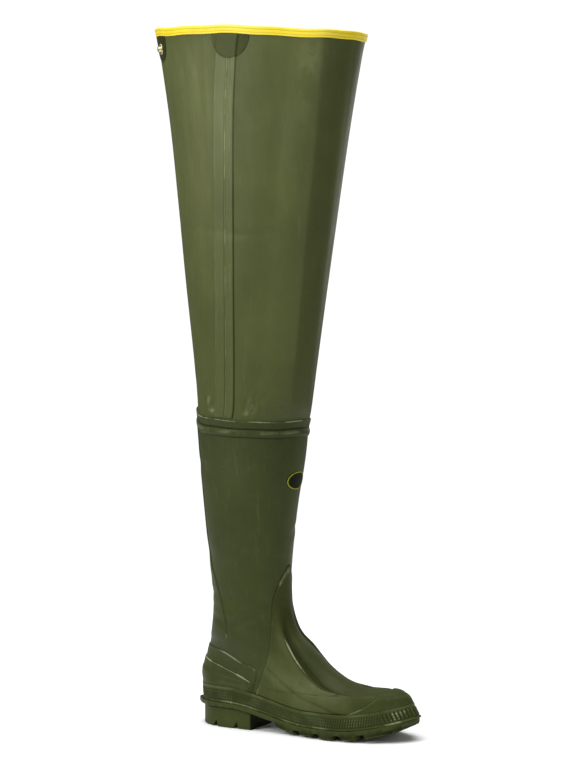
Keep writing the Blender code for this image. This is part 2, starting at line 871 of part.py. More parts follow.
def build_patches(rubber, brass, badge):
    """The half-round seam patch, the strap's shield-shaped tab with its stud, and the shin's badge."""
    top = LEVELS["top"]
    under = BINDING_HEIGHT + GAP
    clear = STRIP_WIDTH / 2 + 2 * GAP

    def over_strip(across):
        step = 1 - smooth(clear, clear + 0.003, abs(across + PATCH_OFFSET))
        return GAP + (GAP + OVERLAY) * step

    def half_round(up):
        return PATCH_RADIUS * max(math.sqrt(max(1 - ((up + under) / PATCH_DROP) ** 2, 0.0)), 0.12)

    where = local(SEAM_U + PATCH_OFFSET / round_step(top, SEAM_U), top)
    low = -under - PATCH_DROP
    sticker("seam_patch", rubber, where, half_round, low, -under, over_strip, OVERLAY, 6, 12)

    def shield(up):
        down = (-under - up) / TAB_LENGTH
        return TAB_WIDTH / 2 * max(1 - max(down - 0.45, 0.0) ** 2 * 3.1, 0.06)

    tab_at = local(TAB_U, top)
    flat = constant_lift(GAP)
    sticker("strap_tab", rubber, tab_at, shield, -under - TAB_LENGTH, -under, flat, OVERLAY * 1.4, 6, 6)
    u, level = tab_at(0.0, -under - STUD_DROP)
    build_stud(brass, u, level, 2 * GAP + OVERLAY * 1.4)

    def oval(up):
        return BADGE_WIDTH / 2 * max(math.sqrt(max(1 - (2 * up / BADGE_HEIGHT) ** 2, 0.0)), 0.12)

    level = level_at(BADGE_Z * KNEE_HEIGHT, BADGE_U)
    half = BADGE_HEIGHT / 2
    sticker("shin_badge", badge, local(BADGE_U, level), oval, -half, half, flat, OVERLAY * 0.6, 6, 10)


def constant_lift(value):
    """A patch's inner lift that is the same everywhere."""
    return lambda across: value


def build_stud(brass, u, level, lift):
    """The brass snap stud for the belt strap: a rolled flange with a knob on it."""
    out = normal(u, level)
    base = skin(u, level, lift)
    turn = out.to_track_quat("Z", "Y").to_matrix().to_4x4()
    points, faces = [], []
    for radius, height in STUD:
        for number in range(STUD_SIDES):
            angle = 2 * math.pi * number / STUD_SIDES
            spot = Vector((math.cos(angle) * radius, math.sin(angle) * radius, height))
            spot.x *= STUD_DIAMETER / 2
            spot.y *= STUD_DIAMETER / 2
            spot.z *= STUD_HEIGHT
            points.append(turn @ spot + base)
    for row in range(len(STUD) - 1):
        for number in range(STUD_SIDES):
            after = (number + 1) % STUD_SIDES
            low, high = row * STUD_SIDES, (row + 1) * STUD_SIDES
            faces.append((low + number, low + after, high + after, high + number))
    faces.append(tuple(range(STUD_SIDES)))
    faces.append(tuple(range((len(STUD) - 1) * STUD_SIDES, len(STUD) * STUD_SIDES)))
    return make_object("snap_stud", points, faces, brass, 30)


def build_binding(tape):
    """The trim tape folded over the top edge, down both faces."""
    top = LEVELS["top"]
    drop = top - above(top, -BINDING_HEIGHT)
    out, back = GAP + BINDING_THICKNESS, GAP
    inner_face = -THIGH_WALL - GAP
    section = (
        # lift, levels down, metres over the edge
        (back, drop, 0.0),
        (out, drop, 0.0),
        (out, 0.0, GAP + BINDING_THICKNESS * 0.4),
        (inner_face / 2, 0.0, GAP + BINDING_THICKNESS),
        (inner_face - BINDING_THICKNESS, 0.0, GAP + BINDING_THICKNESS * 0.4),
        (inner_face - BINDING_THICKNESS, drop, 0.0),
        (inner_face, drop, 0.0),
        (inner_face, 0.0, GAP),
        (back, 0.0, GAP),
    )
    points, faces = [], []
    for column in range(COLUMNS):
        u = column / COLUMNS
        for lift, down, over in section:
            points.append(skin(u, top - down, lift) + Vector((0, 0, over)))
    size = len(section)
    for column in range(COLUMNS):
        after = (column + 1) % COLUMNS
        for corner in range(size):
            following = (corner + 1) % size
            faces.append(
                (
                    column * size + corner,
                    column * size + following,
                    after * size + following,
                    after * size + corner,
                )
            )
    return make_object("collar_binding", points, faces, tape)


def main():
    for old in list(bpy.data.objects):
        bpy.data.objects.remove(old)
    rubber = make_material("olive_rubber", (0.062, 0.070, 0.026), 0.42)
    thigh_rubber = make_material("thigh_rubber", (0.105, 0.110, 0.048), 0.45)
    sole_rubber = make_material("sole_rubber", (0.050, 0.058, 0.022), 0.5)
    tape = make_material("yellow_tape", (0.80, 0.58, 0.03), 0.4)
    cloth = make_material("insole_cloth", (0.16, 0.15, 0.11), 0.9)
    brass = make_material("brass", (0.55, 0.42, 0.18), 0.35, 1.0)
    badge = make_material("badge_print", (0.015, 0.017, 0.010), 0.4)
    build_outsole(sole_rubber)
    build_heel(sole_rubber)
    build_insole(cloth)
    build_upper(rubber)
    build_thigh(thigh_rubber)
    build_foxing(sole_rubber)
    build_vamp(rubber)
    build_toe_cap(sole_rubber)
    build_counter("heel_counter_outer", rubber, COUNTER_LOW, 1)
    build_counter("heel_counter_inner", rubber, COUNTER_HIGH, 0)
    build_bead("instep_bead_outer", rubber, 1)
    build_bead("instep_bead_inner", rubber, -1)
    build_back_strip(rubber)
    build_band("knee_band_upper", rubber, BAND_HEIGHT / 2 + GAP, BAND_THICKNESS)
    build_band("knee_band_lower", rubber, -BAND_HEIGHT / 2 - GAP, BAND_THICKNESS * 0.6)
    build_seam_strip(thigh_rubber)
    build_patches(thigh_rubber, brass, badge)
    build_binding(tape)


main()
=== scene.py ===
"""A right-foot hip wader in olive rubber, laid up piece by piece around its CAD solids.

Metres, +X towards the toe, +Y towards the wearer's left (the inner side of this right boot), +Z up.
A place on the boot is (turn, level): turn runs once round from the back line (0) by the outer side (0.25)
and the front (0.5) to the inner side (0.75), and level counts up the rows of BOOT_LEVELS.
"""

import math

import bpy
import numpy as np
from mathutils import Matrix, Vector


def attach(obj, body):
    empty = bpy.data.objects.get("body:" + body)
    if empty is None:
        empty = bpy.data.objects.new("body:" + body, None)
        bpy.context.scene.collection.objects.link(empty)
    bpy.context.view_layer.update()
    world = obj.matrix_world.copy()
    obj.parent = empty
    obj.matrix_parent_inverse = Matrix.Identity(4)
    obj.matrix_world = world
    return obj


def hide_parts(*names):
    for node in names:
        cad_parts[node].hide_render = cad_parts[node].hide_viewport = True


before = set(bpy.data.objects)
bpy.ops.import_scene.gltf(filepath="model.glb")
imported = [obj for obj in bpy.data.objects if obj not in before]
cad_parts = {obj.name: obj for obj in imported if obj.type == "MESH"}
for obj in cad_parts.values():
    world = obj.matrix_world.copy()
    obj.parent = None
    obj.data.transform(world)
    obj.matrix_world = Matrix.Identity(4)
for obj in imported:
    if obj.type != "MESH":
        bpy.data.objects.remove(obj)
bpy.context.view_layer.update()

# Foot and leg
# The lower boot is one thick shell of olive rubber over a cloth lining. It is laid up over a metal last,
# lapped, rolled down and cured in an oven, which leaves it soft-edged, with a waxy bloom and shallow creases.

HEEL_BACK, FOOT_LENGTH, BALL_WIDTH = 0.047, 0.318, 0.108
SOLE_LOW, HEEL_LIFT, TOE_SPRING = 0.013, 0.020, 0.018
SHANK_FROM, SHANK_TO, SPRING_FROM = 0.0038, 0.12949, 0.1756
LEG_WALL, CURE_GAP = 0.0026, 0.0003
KNEE_LEVEL, TOP_LEVEL = 10.0, 15.0
BOOT_LEVELS = (
    # name, back x, front x, back z, front z, outer half, inner half, keeps the last, sag, follows the sole
    ("edge", -0.0420, 0.2660, 0.0003, 0.0003, 0.0490, 0.0490, 1.00, 0.0, 1.0),
    ("foxing", -0.0432, 0.2561, 0.0220, 0.0209, 0.0500, 0.0490, 0.97, 0.0, 1.0),
    ("toe roll", -0.0448, 0.2457, 0.0683, 0.0564, 0.0480, 0.0466, 0.82, -0.0100, 0.0),
    ("toe top", -0.0423, 0.2263, 0.0799, 0.0589, 0.0451, 0.0431, 0.60, -0.0121, 0.0),
    ("vamp", -0.0392, 0.1902, 0.0923, 0.0603, 0.0426, 0.0402, 0.30, -0.0079, 0.0),
    ("instep", -0.0358, 0.1539, 0.1059, 0.0753, 0.0412, 0.0392, 0.10, -0.0042, 0.0),
    ("throat", -0.0306, 0.1154, 0.1253, 0.1055, 0.0455, 0.0446, 0.0, 0.0, 0.0),
    ("ankle low", -0.0275, 0.0889, 0.1500, 0.1349, 0.0442, 0.0442, 0.0, 0.0, 0.0),
    ("ankle", -0.0280, 0.0790, 0.1830, 0.1870, 0.0437, 0.0437, 0.0, 0.0, 0.0),
    ("calf", -0.0395, 0.0875, 0.2900, 0.2900, 0.0520, 0.0520, 0.0, 0.0, 0.0),
    ("knee", -0.0485, 0.1025, 0.3980, 0.3980, 0.0620, 0.0620, 0.0, 0.0, 0.0),
    ("thigh low", -0.0504, 0.1108, 0.4395, 0.4392, 0.0637, 0.0637, 0.0, 0.0, 0.0),
    ("thigh", -0.0669, 0.1323, 0.5848, 0.5834, 0.0697, 0.0697, 0.0, 0.0, 0.0),
    ("thigh top", -0.0870, 0.1604, 0.7717, 0.7688, 0.0797, 0.0797, 0.0, 0.0, 0.0),
    ("thigh flare", -0.1024, 0.1785, 0.8755, 0.8718, 0.0871, 0.0871, 0.0, 0.0, 0.0),
    ("top", -0.1101, 0.1862, 0.9158, 0.9054, 0.0905, 0.0905, 0.0, 0.0032, 0.0),
)
LAST_PLAN = (
    # station from heel to toe, outer half width, inner half width
    (0.00, 0.06396, 0.06318),
    (0.06, 0.06240, 0.06084),
    (0.13, 0.05616, 0.05382),
    (0.21, 0.04836, 0.04485),
    (0.36, 0.04142, 0.03192),
    (0.49, 0.04484, 0.03344),
    (0.62, 0.05346, 0.04590),
    (0.71, 0.05886, 0.05508),
    (0.80, 0.06048, 0.06210),
    (0.88, 0.05940, 0.06588),
    (0.94, 0.05616, 0.06480),
    (1.00, 0.05184, 0.05616),
)
LEG_CREASES = (
    # turn, height, slant in degrees, length, width, depth (a ridge if negative)
    (0.300, 0.150, 24, 0.030, 0.0060, 0.0009),
    (0.335, 0.163, 30, 0.026, 0.0050, -0.0006),
    (0.180, 0.142, -14, 0.034, 0.0070, 0.0010),
    (0.140, 0.158, -10, 0.030, 0.0060, 0.0007),
    (0.215, 0.171, -4, 0.040, 0.0080, 0.0006),
    (0.060, 0.176, 8, 0.026, 0.0060, 0.0007),
    (0.250, 0.205, 12, 0.050, 0.0110, 0.0006),
    (0.120, 0.226, -16, 0.044, 0.0120, 0.0007),
    (0.360, 0.255, 20, 0.030, 0.0100, 0.0005),
    (0.200, 0.300, 86, 0.070, 0.0150, 0.0005),
    (0.310, 0.330, 84, 0.060, 0.0150, 0.0004),
    (0.545, 0.262, 30, 0.016, 0.0050, 0.0009),
    (0.090, 0.345, -18, 0.034, 0.0080, 0.0006),
    (0.690, 0.150, -24, 0.030, 0.0060, 0.0009),
    (0.820, 0.144, 14, 0.034, 0.0070, 0.0010),
    (0.780, 0.172, 5, 0.040, 0.0080, 0.0006),
    (0.880, 0.228, 15, 0.044, 0.0120, 0.0007),
    (0.740, 0.262, -12, 0.050, 0.0110, 0.0006),
    (0.700, 0.325, 80, 0.060, 0.0120, 0.0007),
    (0.930, 0.330, 12, 0.030, 0.0080, 0.0005),
    (0.300, 0.429, 78, 0.011, 0.0026, -0.0019),
    (0.311, 0.427, 84, 0.010, 0.0028, 0.0015),
    (0.168, 0.432, 102, 0.009, 0.0024, -0.0016),
    (0.177, 0.429, 96, 0.009, 0.0026, 0.0013),
    (0.345, 0.446, 50, 0.022, 0.0050, 0.0010),
    (0.395, 0.428, -25, 0.012, 0.0040, 0.0008),
    (0.150, 0.470, 30, 0.030, 0.0080, 0.0007),
    (0.330, 0.480, -35, 0.034, 0.0090, 0.0007),
    (0.290, 0.560, 78, 0.080, 0.0140, 0.0008),
    (0.130, 0.600, 82, 0.090, 0.0150, 0.0010),
    (0.205, 0.655, -6, 0.060, 0.0050, 0.0005),
    (0.320, 0.652, 4, 0.050, 0.0050, 0.0005),
    (0.160, 0.760, 74, 0.070, 0.0150, 0.0009),
    (0.340, 0.770, 86, 0.080, 0.0140, 0.0008),
    (0.660, 0.430, 12, 0.014, 0.0040, -0.0008),
    (0.800, 0.421, -10, 0.013, 0.0040, 0.0009),
    (0.720, 0.560, 84, 0.080, 0.0140, 0.0008),
    (0.860, 0.640, 80, 0.080, 0.0150, 0.0009),
    (0.690, 0.740, 82, 0.080, 0.0140, 0.0008),
    (0.960, 0.700, 88, 0.080, 0.0150, 0.0008),
)
INSTEP_LINE = (
    # level, turn of the bead on the outer side
    (2.00, 0.382),
    (2.35, 0.366),
    (2.80, 0.356),
    (3.60, 0.353),
    (4.60, 0.360),
    (5.60, 0.375),
    (6.20, 0.389),
    (6.85, 0.408),
    (7.60, 0.430),
)
TROUGH_DEPTH, SWELL_HEIGHT, INNER_SWELL, INNER_SHARE = 0.0052, 0.0024, 0.15, 0.80
TOE_SWELL, SHIN_SWELL = 0.0017, 0.0024


def through(places, heights, at):
    """A smooth line through (place, height) pairs, read at any number of places."""
    places, heights = np.asarray(places, float), np.asarray(heights, float)
    slope = np.empty_like(heights)
    slope[1:-1] = (heights[2:] - heights[:-2]) / (places[2:] - places[:-2])
    slope[0] = (heights[1] - heights[0]) / (places[1] - places[0])
    slope[-1] = (heights[-1] - heights[-2]) / (places[-1] - places[-2])
    low = np.clip(np.searchsorted(places, at, side="left") - 1, 0, len(places) - 2)
    span = places[low + 1] - places[low]
    share = np.clip((at - places[low]) / span, 0.0, 1.0)
    square, cube = share**2, share**3
    return (
        heights[low] * (2 * cube - 3 * square + 1)
        + slope[low] * span * (cube - 2 * square + share)
        + heights[low + 1] * (3 * square - 2 * cube)
        + slope[low + 1] * span * (cube - square)
    )


def from_table(table, at, column=1):
    """A column of a table, read smoothly at any place in its first column."""
    return through([row[0] for row in table], [row[column] for row in table], at)


def section(level, column):
    """A column of BOOT_LEVELS, read smoothly at any level."""
    return through(np.arange(len(BOOT_LEVELS)), [row[column] for row in BOOT_LEVELS], level)


def ease(low, high, value):
    """0 below low, 1 above high, and a soft step between."""
    share = np.clip((value - low) / (high - low), 0.0, 1.0)
    return share * share * (3 - 2 * share)


def bell(off, width):
    """1 in the middle, falling off softly on both sides over a width."""
    return np.exp(-((off / width) ** 2))


def sole_line(x):
    """Height at which the upper meets the sole: raised over the heel, low at the ball, sprung at the toe."""
    heel_lift = HEEL_LIFT * (1 - ease(SHANK_FROM, SHANK_TO, x))
    spring = TOE_SPRING * np.maximum(0.0, (x - SPRING_FROM) / (FOOT_LENGTH - HEEL_BACK - SPRING_FROM)) ** 1.6
    return SOLE_LOW + heel_lift + spring


def boot_face(turn, level):
    """Points of the boot's outer face."""
    turn, level = np.broadcast_arrays(np.asarray(turn, float) % 1.0, np.asarray(level, float))
    columns = [section(level, column) for column in range(1, 10)]
    back, front, z_back, z_front, outer, inner, last, sag, follow = columns
    last, follow = np.clip(last, 0.0, 1.0), np.clip(follow, 0.0, 1.0)
    share = (1 - np.cos(2 * np.pi * turn)) / 2
    outside = np.sin(2 * np.pi * turn) > 0
    outer_plan, inner_plan = from_table(LAST_PLAN, share, 1), from_table(LAST_PLAN, share, 2)
    plan = np.where(outside, outer_plan, inner_plan) / (BALL_WIDTH / 2)
    oval = 2 * np.sqrt(np.maximum(share * (1 - share), 0.0)) * ((1 - last) + last * plan)
    x = back + (front - back) * share
    y = np.where(outside, -outer, inner) * oval
    z = z_back + (z_front - z_back) * share + sag * 4 * share * (1 - share) + follow * sole_line(x)
    return np.stack([x, y, z], axis=-1)


def boot_normal(turn, level):
    """Outward directions of the boot's outer face."""
    low, high = np.maximum(level - 0.02, 0.0), np.minimum(level + 0.02, TOP_LEVEL)
    round_it = boot_face(turn + 0.002, level) - boot_face(turn - 0.002, level)
    way = np.cross(round_it, boot_face(turn, high) - boot_face(turn, low))
    return way / np.linalg.norm(way, axis=-1, keepdims=True)


def girth(turn, level):
    """Metres round the boot for each unit of turn."""
    return np.linalg.norm(boot_face(turn + 0.002, level) - boot_face(turn - 0.002, level), axis=-1) / 0.004


def creased(turn, level):
    """How far the creases push the rubber in or out: each is a soft trough with a low lip on both sides."""
    height = boot_face(turn, level)[..., 2]
    pushed = np.zeros(height.shape)
    scale = girth(turn, level)
    for at, z, slant, length, width, depth in LEG_CREASES:
        across = ((turn - at + 0.5) % 1.0 - 0.5) * scale
        up = height - z
        lean = math.radians(slant)
        along = across * math.cos(lean) + up * math.sin(lean)
        off = up * math.cos(lean) - across * math.sin(lean)
        lips = bell(np.abs(off) - 1.7 * width, width)
        pushed -= depth * bell(along, length) * (bell(off, width) - 0.3 * lips)
    return pushed * ease(0.10, 0.13, height)


def instep_form(turn, level):
    """The instep's own form: a trough inside each bead, and the long swell outside it. Gives the push, and
    how deep in a trough each place lies."""
    beads = 0.5 - from_table(INSTEP_LINE, level)
    from_front = (turn % 1.0) - 0.5
    off = (np.abs(from_front) - beads * np.where(from_front > 0, INNER_SHARE, 1.0)) * girth(turn, level)
    reach = ease(2.1, 3.1, level) * (1 - ease(6.3, 7.9, level))
    trough = reach * bell(off + 0.0082, 0.0050)
    swell = SWELL_HEIGHT * np.where(from_front > 0, INNER_SWELL, 1.0) * bell(off - 0.003, 0.0075)
    return reach * swell - TROUGH_DEPTH * trough, trough


def stand_off(turn, level, lift):
    """Points at a lift from the boot's creased face. Next to the sole they move sideways only."""
    follow = np.clip(section(level, 9), 0.0, 1.0)
    point, way = boot_face(turn, level), boot_normal(turn, level)
    way[..., 2] *= 1 - follow
    way /= np.linalg.norm(way, axis=-1, keepdims=True)
    toe = TOE_SWELL * bell(level - 1.75, 0.5) * bell((turn % 1.0) - 0.5, 0.10)
    shin = SHIN_SWELL * bell(level - 9.55, 0.38) * bell((turn % 1.0) - 0.54, 0.12)
    formed = creased(turn, level) + instep_form(turn, level)[0] + toe + shin
    moved = point + way * (np.asarray(lift) + formed)[..., None]
    moved[..., 2] += follow * (sole_line(moved[..., 0]) - sole_line(point[..., 0]))
    return moved


def even_levels(low, high, cell):
    """Levels from low to high, about a cell apart on the boot."""
    fine = np.linspace(low, high, 500)
    steps = [np.linalg.norm(np.diff(boot_face(at, fine), axis=0), axis=1) for at in (0, 0.25, 0.5)]
    longest = np.max(steps, axis=0)
    run = np.concatenate([[0.0], np.cumsum(longest)])
    return np.interp(np.linspace(0, run[-1], math.ceil(run[-1] / cell) + 1), run, fine)


def even_turns(level, low, high, cell):
    """Turns from low to high, about a cell apart at a level."""
    fine = np.linspace(low, high, 800)
    run = np.concatenate([[0.0], np.cumsum(np.linalg.norm(np.diff(boot_face(fine, level), axis=0), axis=1))])
    return np.interp(np.linspace(0, run[-1], math.ceil(run[-1] / cell) + 1), run, fine)


def grid_faces(rows, columns, closed=False):
    """The faces between the points of a grid, each row of which may close into a ring."""
    number = np.arange(rows * columns).reshape(rows, columns)
    here, after = (number, np.roll(number, -1, axis=1)) if closed else (number[:, :-1], number[:, 1:])
    return np.stack([here[:-1], after[:-1], after[1:], here[1:]], axis=-1).reshape(-1, 4)


def laid_mesh(name, points, faces, finish, marks=None, wall=0.0):
    """An object from points and faces, without loose points, with named values at its points."""
    used, faces = np.unique(faces, return_inverse=True)
    faces = faces.reshape(-1, 4)
    mesh = bpy.data.meshes.new(name)
    mesh.from_pydata(points[used].tolist(), [], faces.tolist())
    mesh.polygons.foreach_set("use_smooth", [True] * len(faces))
    for word, values in (marks or {}).items():
        mesh.attributes.new(word, "FLOAT", "POINT").data.foreach_set("value", values.ravel()[used])
    mesh.materials.append(finish)
    made = bpy.data.objects.new(name, mesh)
    bpy.context.scene.collection.objects.link(made)
    if wall:
        backed = made.modifiers.new("wall", "SOLIDIFY")
        backed.thickness, backed.offset = wall, -1.0
    return made


def rubber_sheet(name, turns, levels, lift, wall, finish, closed=False, seen=None, marks=None):
    """A sheet laid on the boot over a grid of turns and levels. seen is False where it is trimmed off."""
    turn, level = np.meshgrid(turns, levels)
    faces = grid_faces(*turn.shape, closed)
    if seen is not None:
        faces = faces[seen.ravel()[faces].any(axis=1)]
    points = stand_off(turn, level, lift).reshape(-1, 3)
    return laid_mesh(name, points, faces, finish, marks, wall)


def paint(red, green, blue):
    """A colour as measured on a screen, 0 to 255, for a shader."""
    parts = [value / 255 for value in (red, green, blue)]
    return (*[p / 12.92 if p <= 0.04045 else ((p + 0.055) / 1.055) ** 2.4 for p in parts], 1.0)


def add_node(tree, kind, inputs, **settings):
    """A shader node with its settings, and its inputs set or linked."""
    node = tree.nodes.new("ShaderNode" + kind)
    for word, value in settings.items():
        setattr(node, word, value)
    for socket, value in inputs.items():
        if isinstance(value, bpy.types.NodeSocket):
            tree.links.new(value, node.inputs[socket])
        else:
            node.inputs[socket].default_value = value
    return node


def blended(tree, share, low, high):
    """Colour from low to high by a share."""
    return add_node(tree, "Mix", {0: share, 6: low, 7: high}, data_type="RGBA").outputs[2]


def spread(tree, value, low, high, to_low, to_high):
    """A value moved from one range to another, and kept in it."""
    return add_node(tree, "MapRange", {0: value, 1: low, 2: high, 3: to_low, 4: to_high}).outputs[0]


def clouds(tree, place, scale, detail, roughness):
    """Soft noise from 0 to 1 at a scale in waves a metre."""
    inputs = {"Vector": place, "Scale": scale, "Detail": detail, "Roughness": roughness}
    return add_node(tree, "TexNoise", inputs).outputs["Fac"]


def marked(tree, word):
    """The values that a mesh holds under a name."""
    return add_node(tree, "Attribute", {}, attribute_name=word).outputs["Fac"]


def bare_finish(name):
    """A new material, with its node tree, its shader, and the places on the object for its patterns."""
    made = bpy.data.materials.new(name)
    made.use_nodes = True
    tree = made.node_tree
    return made, tree, tree.nodes["Principled BSDF"], tree.nodes.new("ShaderNodeTexCoord").outputs["Object"]


def rubber_finish(name, deep, body, bloom_and_painted_light, roughness, grain, scuffs, gloss):
    """Cured rubber: a slow mottle between two tones, a pale waxy bloom and rubbed streaks down it, and a fine
    grain. The mesh marks where painted shade lies (darker and less glossy), where a painted highlight lies
    (solid over 1), and where painted light lies."""
    made, tree, shader, place = bare_finish(name)
    tall = add_node(tree, "Mapping", {"Vector": place, "Scale": (1.0, 1.0, 0.12)}).outputs[0]
    slow = clouds(tree, place, 11.0, 3.0, 0.55)
    middle = clouds(tree, place, 70.0, 4.0, 0.6)
    streaks = clouds(tree, tall, 130.0, 4.0, 0.62)
    fine = clouds(tree, place, 1500.0, 2.0, 0.6)
    pits = clouds(tree, place, 420.0, 3.0, 0.5)
    tone = blended(tree, spread(tree, slow, 0.35, 0.65, 0.0, 1.0), deep, body)
    tone = blended(tree, spread(tree, middle, 0.52, 0.80, 0.0, 0.4 * scuffs), tone, bloom_and_painted_light)
    tone = blended(tree, spread(tree, streaks, 0.58, 0.82, 0.0, scuffs), tone, bloom_and_painted_light)
    speck = blended(tree, spread(tree, fine, 0.58, 0.74, 0.0, 0.12), tone, bloom_and_painted_light)
    painted_shade, painted_highlight, painted_light = marked(tree, "painted_shade"), marked(tree, "painted_highlight"), marked(tree, "painted_light")
    # Painted shade: a dark tone laid where the mesh marks it, which also takes the gloss away.
    shade_tone = tuple(0.25 * value for value in deep[:3]) + (1.0,)
    tone = blended(tree, spread(tree, painted_shade, 0.0, 1.0, 0.0, 0.85), speck, shade_tone)
    # Painted highlights: the pale tone, broken up by noise, where the mesh marks them.
    patchy = spread(tree, clouds(tree, place, 34.0, 3.0, 0.6), 0.46, 0.60, 0.04, 0.85)
    over = add_node(tree, "Math", {0: painted_highlight, 1: 1.0}, operation="SUBTRACT", use_clamp=True).outputs[0]
    highlight_share = add_node(tree, "Math", {0: painted_highlight, 1: patchy, 2: over}, operation="MULTIPLY_ADD").outputs[0]
    # Painted light: the pale tone, misted, where the mesh marks it.
    mist = spread(tree, clouds(tree, tall, 60.0, 3.0, 0.6), 0.30, 0.70, 0.45, 1.0)
    broken_painted_light = add_node(tree, "Math", {0: painted_light, 1: mist}, operation="MULTIPLY").outputs[0]
    tone = blended(tree, broken_painted_light, tone, bloom_and_painted_light)
    tree.links.new(blended(tree, highlight_share, tone, bloom_and_painted_light), shader.inputs["Base Color"])
    dull = spread(tree, streaks, 0.3, 0.75, roughness - 0.05, roughness + 0.10)
    tree.links.new(dull, shader.inputs["Roughness"])
    low = add_node(tree, "Bump", {"Strength": 0.7, "Distance": grain * 3, "Height": pits})
    grained = {"Strength": 0.6, "Distance": grain, "Height": fine, "Normal": low.outputs[0]}
    tree.links.new(add_node(tree, "Bump", grained).outputs[0], shader.inputs["Normal"])
    tree.links.new(spread(tree, painted_shade, 0.0, 1.0, gloss, 0.02), shader.inputs["Specular IOR Level"])
    shader.inputs["Coat Weight"].default_value = 0.03
    shader.inputs["Coat Roughness"].default_value = 0.35
    return made


leg_rubber = rubber_finish(
    "leg_rubber", paint(47, 53, 23), paint(53, 60, 26), paint(136, 141, 108),
    roughness=0.44, grain=0.00010, scuffs=0.08, gloss=0.09,
)
leg_turns = even_turns(3.0, 0.0, 1.0, 0.0027)[:-1]
leg_levels = even_levels(0.0, KNEE_LEVEL, 0.0027)
turn, level = np.meshgrid(leg_turns, leg_levels)
# Painted light: a pale band on the shin's outer side and one down its front, where light falls.
shin_painted_light = 0.05 * bell(turn - 0.26, 0.06) * ease(9.0, 9.5, level)
shin_painted_light += 0.08 * bell(turn - 0.53, 0.06) * ease(7.5, 8.5, level)
leg = rubber_sheet(
    "leg_and_foot", leg_turns, leg_levels, 0.0, LEG_WALL, leg_rubber, closed=True, marks={"painted_light": shin_painted_light}
)
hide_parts("upper")
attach(leg, "root")

# Thigh shaft
# The thigh is a wide tube of thinner rubberised cloth, paler than the leg. It is lapped inside the leg at the
# knee, and was pressed flat when it was cured, so a soft fold runs down its front and another down its back.

THIGH_WALL, THIGH_LAP_LEVEL = 0.0018, 9.80
FOLD_REACH, FOLD_SOFT, FLAT_OFF, FLAT_WIDTH = 0.046, 0.003, 0.050, 0.026
FOLD_LINES = (
    # turn at the knee, turn at the top, height of the ridge
    (0.418, 0.397, 0.0046),
    (0.905, 0.925, 0.0034),
)


def from_fold(turn, level, low, high):
    """Metres round the boot from a fold line, given by its turns at the knee and at the top."""
    rise = np.clip((level - KNEE_LEVEL) / (TOP_LEVEL - KNEE_LEVEL), 0.0, 1.0)
    return ((turn - low - (high - low) * rise + 0.5) % 1.0 - 0.5) * girth(turn, level)


def folded(turn, level):
    """The two lay-flat folds: a soft ridge, with the tube drawn flat on both sides of it."""
    pushed = np.zeros(turn.shape)
    for low, high, ridge in FOLD_LINES:
        off = from_fold(turn, level, low, high)
        tent = np.maximum(1 - np.hypot(off, FOLD_SOFT) / FOLD_REACH, 0.0)
        pushed += ridge * (tent - 0.35 * bell(np.abs(off) - FLAT_OFF, FLAT_WIDTH))
    return pushed * ease(10.25, 11.5, level)


def in_span(value, low, high, soft):
    """1 between low and high, with soft ends."""
    return ease(low - soft, low + soft, value) * (1 - ease(high - soft, high + soft, value))


def past_fold(turn, level):
    """How deep in the fold's far side a place lies, where painted shade makes the rubber darker."""
    off = from_fold(turn, level, *FOLD_LINES[0][:2])
    far = 1 - 0.6 * ease(0.030, 0.046, off)
    return ease(-0.0012, 0.0014, off) * far * (1 - ease(0.06, 0.09, off)) * ease(10.3, 11.6, level)


def knee_shade(level):
    """How much painted shade darkens the thigh's rubber towards the knee, away from the light overhead."""
    return 0.36 * (1 - ease(10.6, 13.4, level))


KNEE_GLINTS = (
    # turn, height, half width, half height and strength of the painted highlights on the pleats over the knee
    (0.170, 0.430, 0.0022, 0.0060, 1.0),
    (0.182, 0.421, 0.0060, 0.0030, 0.6),
    (0.306, 0.424, 0.0020, 0.0075, 1.0),
    (0.298, 0.418, 0.0070, 0.0030, 0.6),
    (0.545, 0.470, 0.0030, 0.0080, 1.0),
)
thigh_rubber = rubber_finish(
    "thigh_rubber", paint(71, 77, 39), paint(78, 85, 43), paint(138, 142, 100),
    roughness=0.42, grain=0.00008, scuffs=0.10, gloss=0.22,
)
thigh_turns = np.arange(220) / 220
thigh_levels = even_levels(THIGH_LAP_LEVEL, TOP_LEVEL, 0.0034)
turn, level = np.meshgrid(thigh_turns, thigh_levels)
lap = -(LEG_WALL + CURE_GAP) * (1 - ease(9.995, 10.03, level))
height = boot_face(turn, level)[..., 2]
# Painted light: a pale zone before the front fold, one on the thigh's left-lit outer side and over its upper
# part. Painted highlights: on the pleats over the knee and before the fold. Painted shade: past the fold and
# towards the knee.
before_fold = bell((turn - 0.398) * girth(turn, level) + 0.013, 0.011) * ease(12.8, 14.2, level)
bloom_and_painted_light = 0.15 * before_fold + 0.05 * past_fold(turn, level)
bloom_and_painted_light += 0.28 * bell(turn - 0.185, 0.034) * in_span(level, 12.5, 14.5, 0.9)
bloom_and_painted_light += 0.10 * in_span(turn, 0.08, 0.38, 0.03) * ease(11.6, 13.4, level)
bloom_and_painted_light += 0.05 * in_span(turn, 0.265, 0.36, 0.02) * ease(13.9, 14.6, level)
highlight_share = 0.32 * before_fold
for at, z, half_width, half_height, strength in KNEE_GLINTS:
    highlight_share += strength * bell((turn - at) * girth(turn, level), half_width) * bell(height - z, half_height)
shade = np.clip(0.30 * past_fold(turn, level) + knee_shade(level), 0, 1)
thigh = rubber_sheet(
    "thigh_shaft_tube", thigh_turns, thigh_levels, lap + folded(turn, level), THIGH_WALL, thigh_rubber,
    closed=True, marks={"painted_shade": shade, "painted_highlight": np.clip(highlight_share, 0, 1), "painted_light": bloom_and_painted_light},
)
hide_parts("thigh_shaft")
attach(thigh, "root")

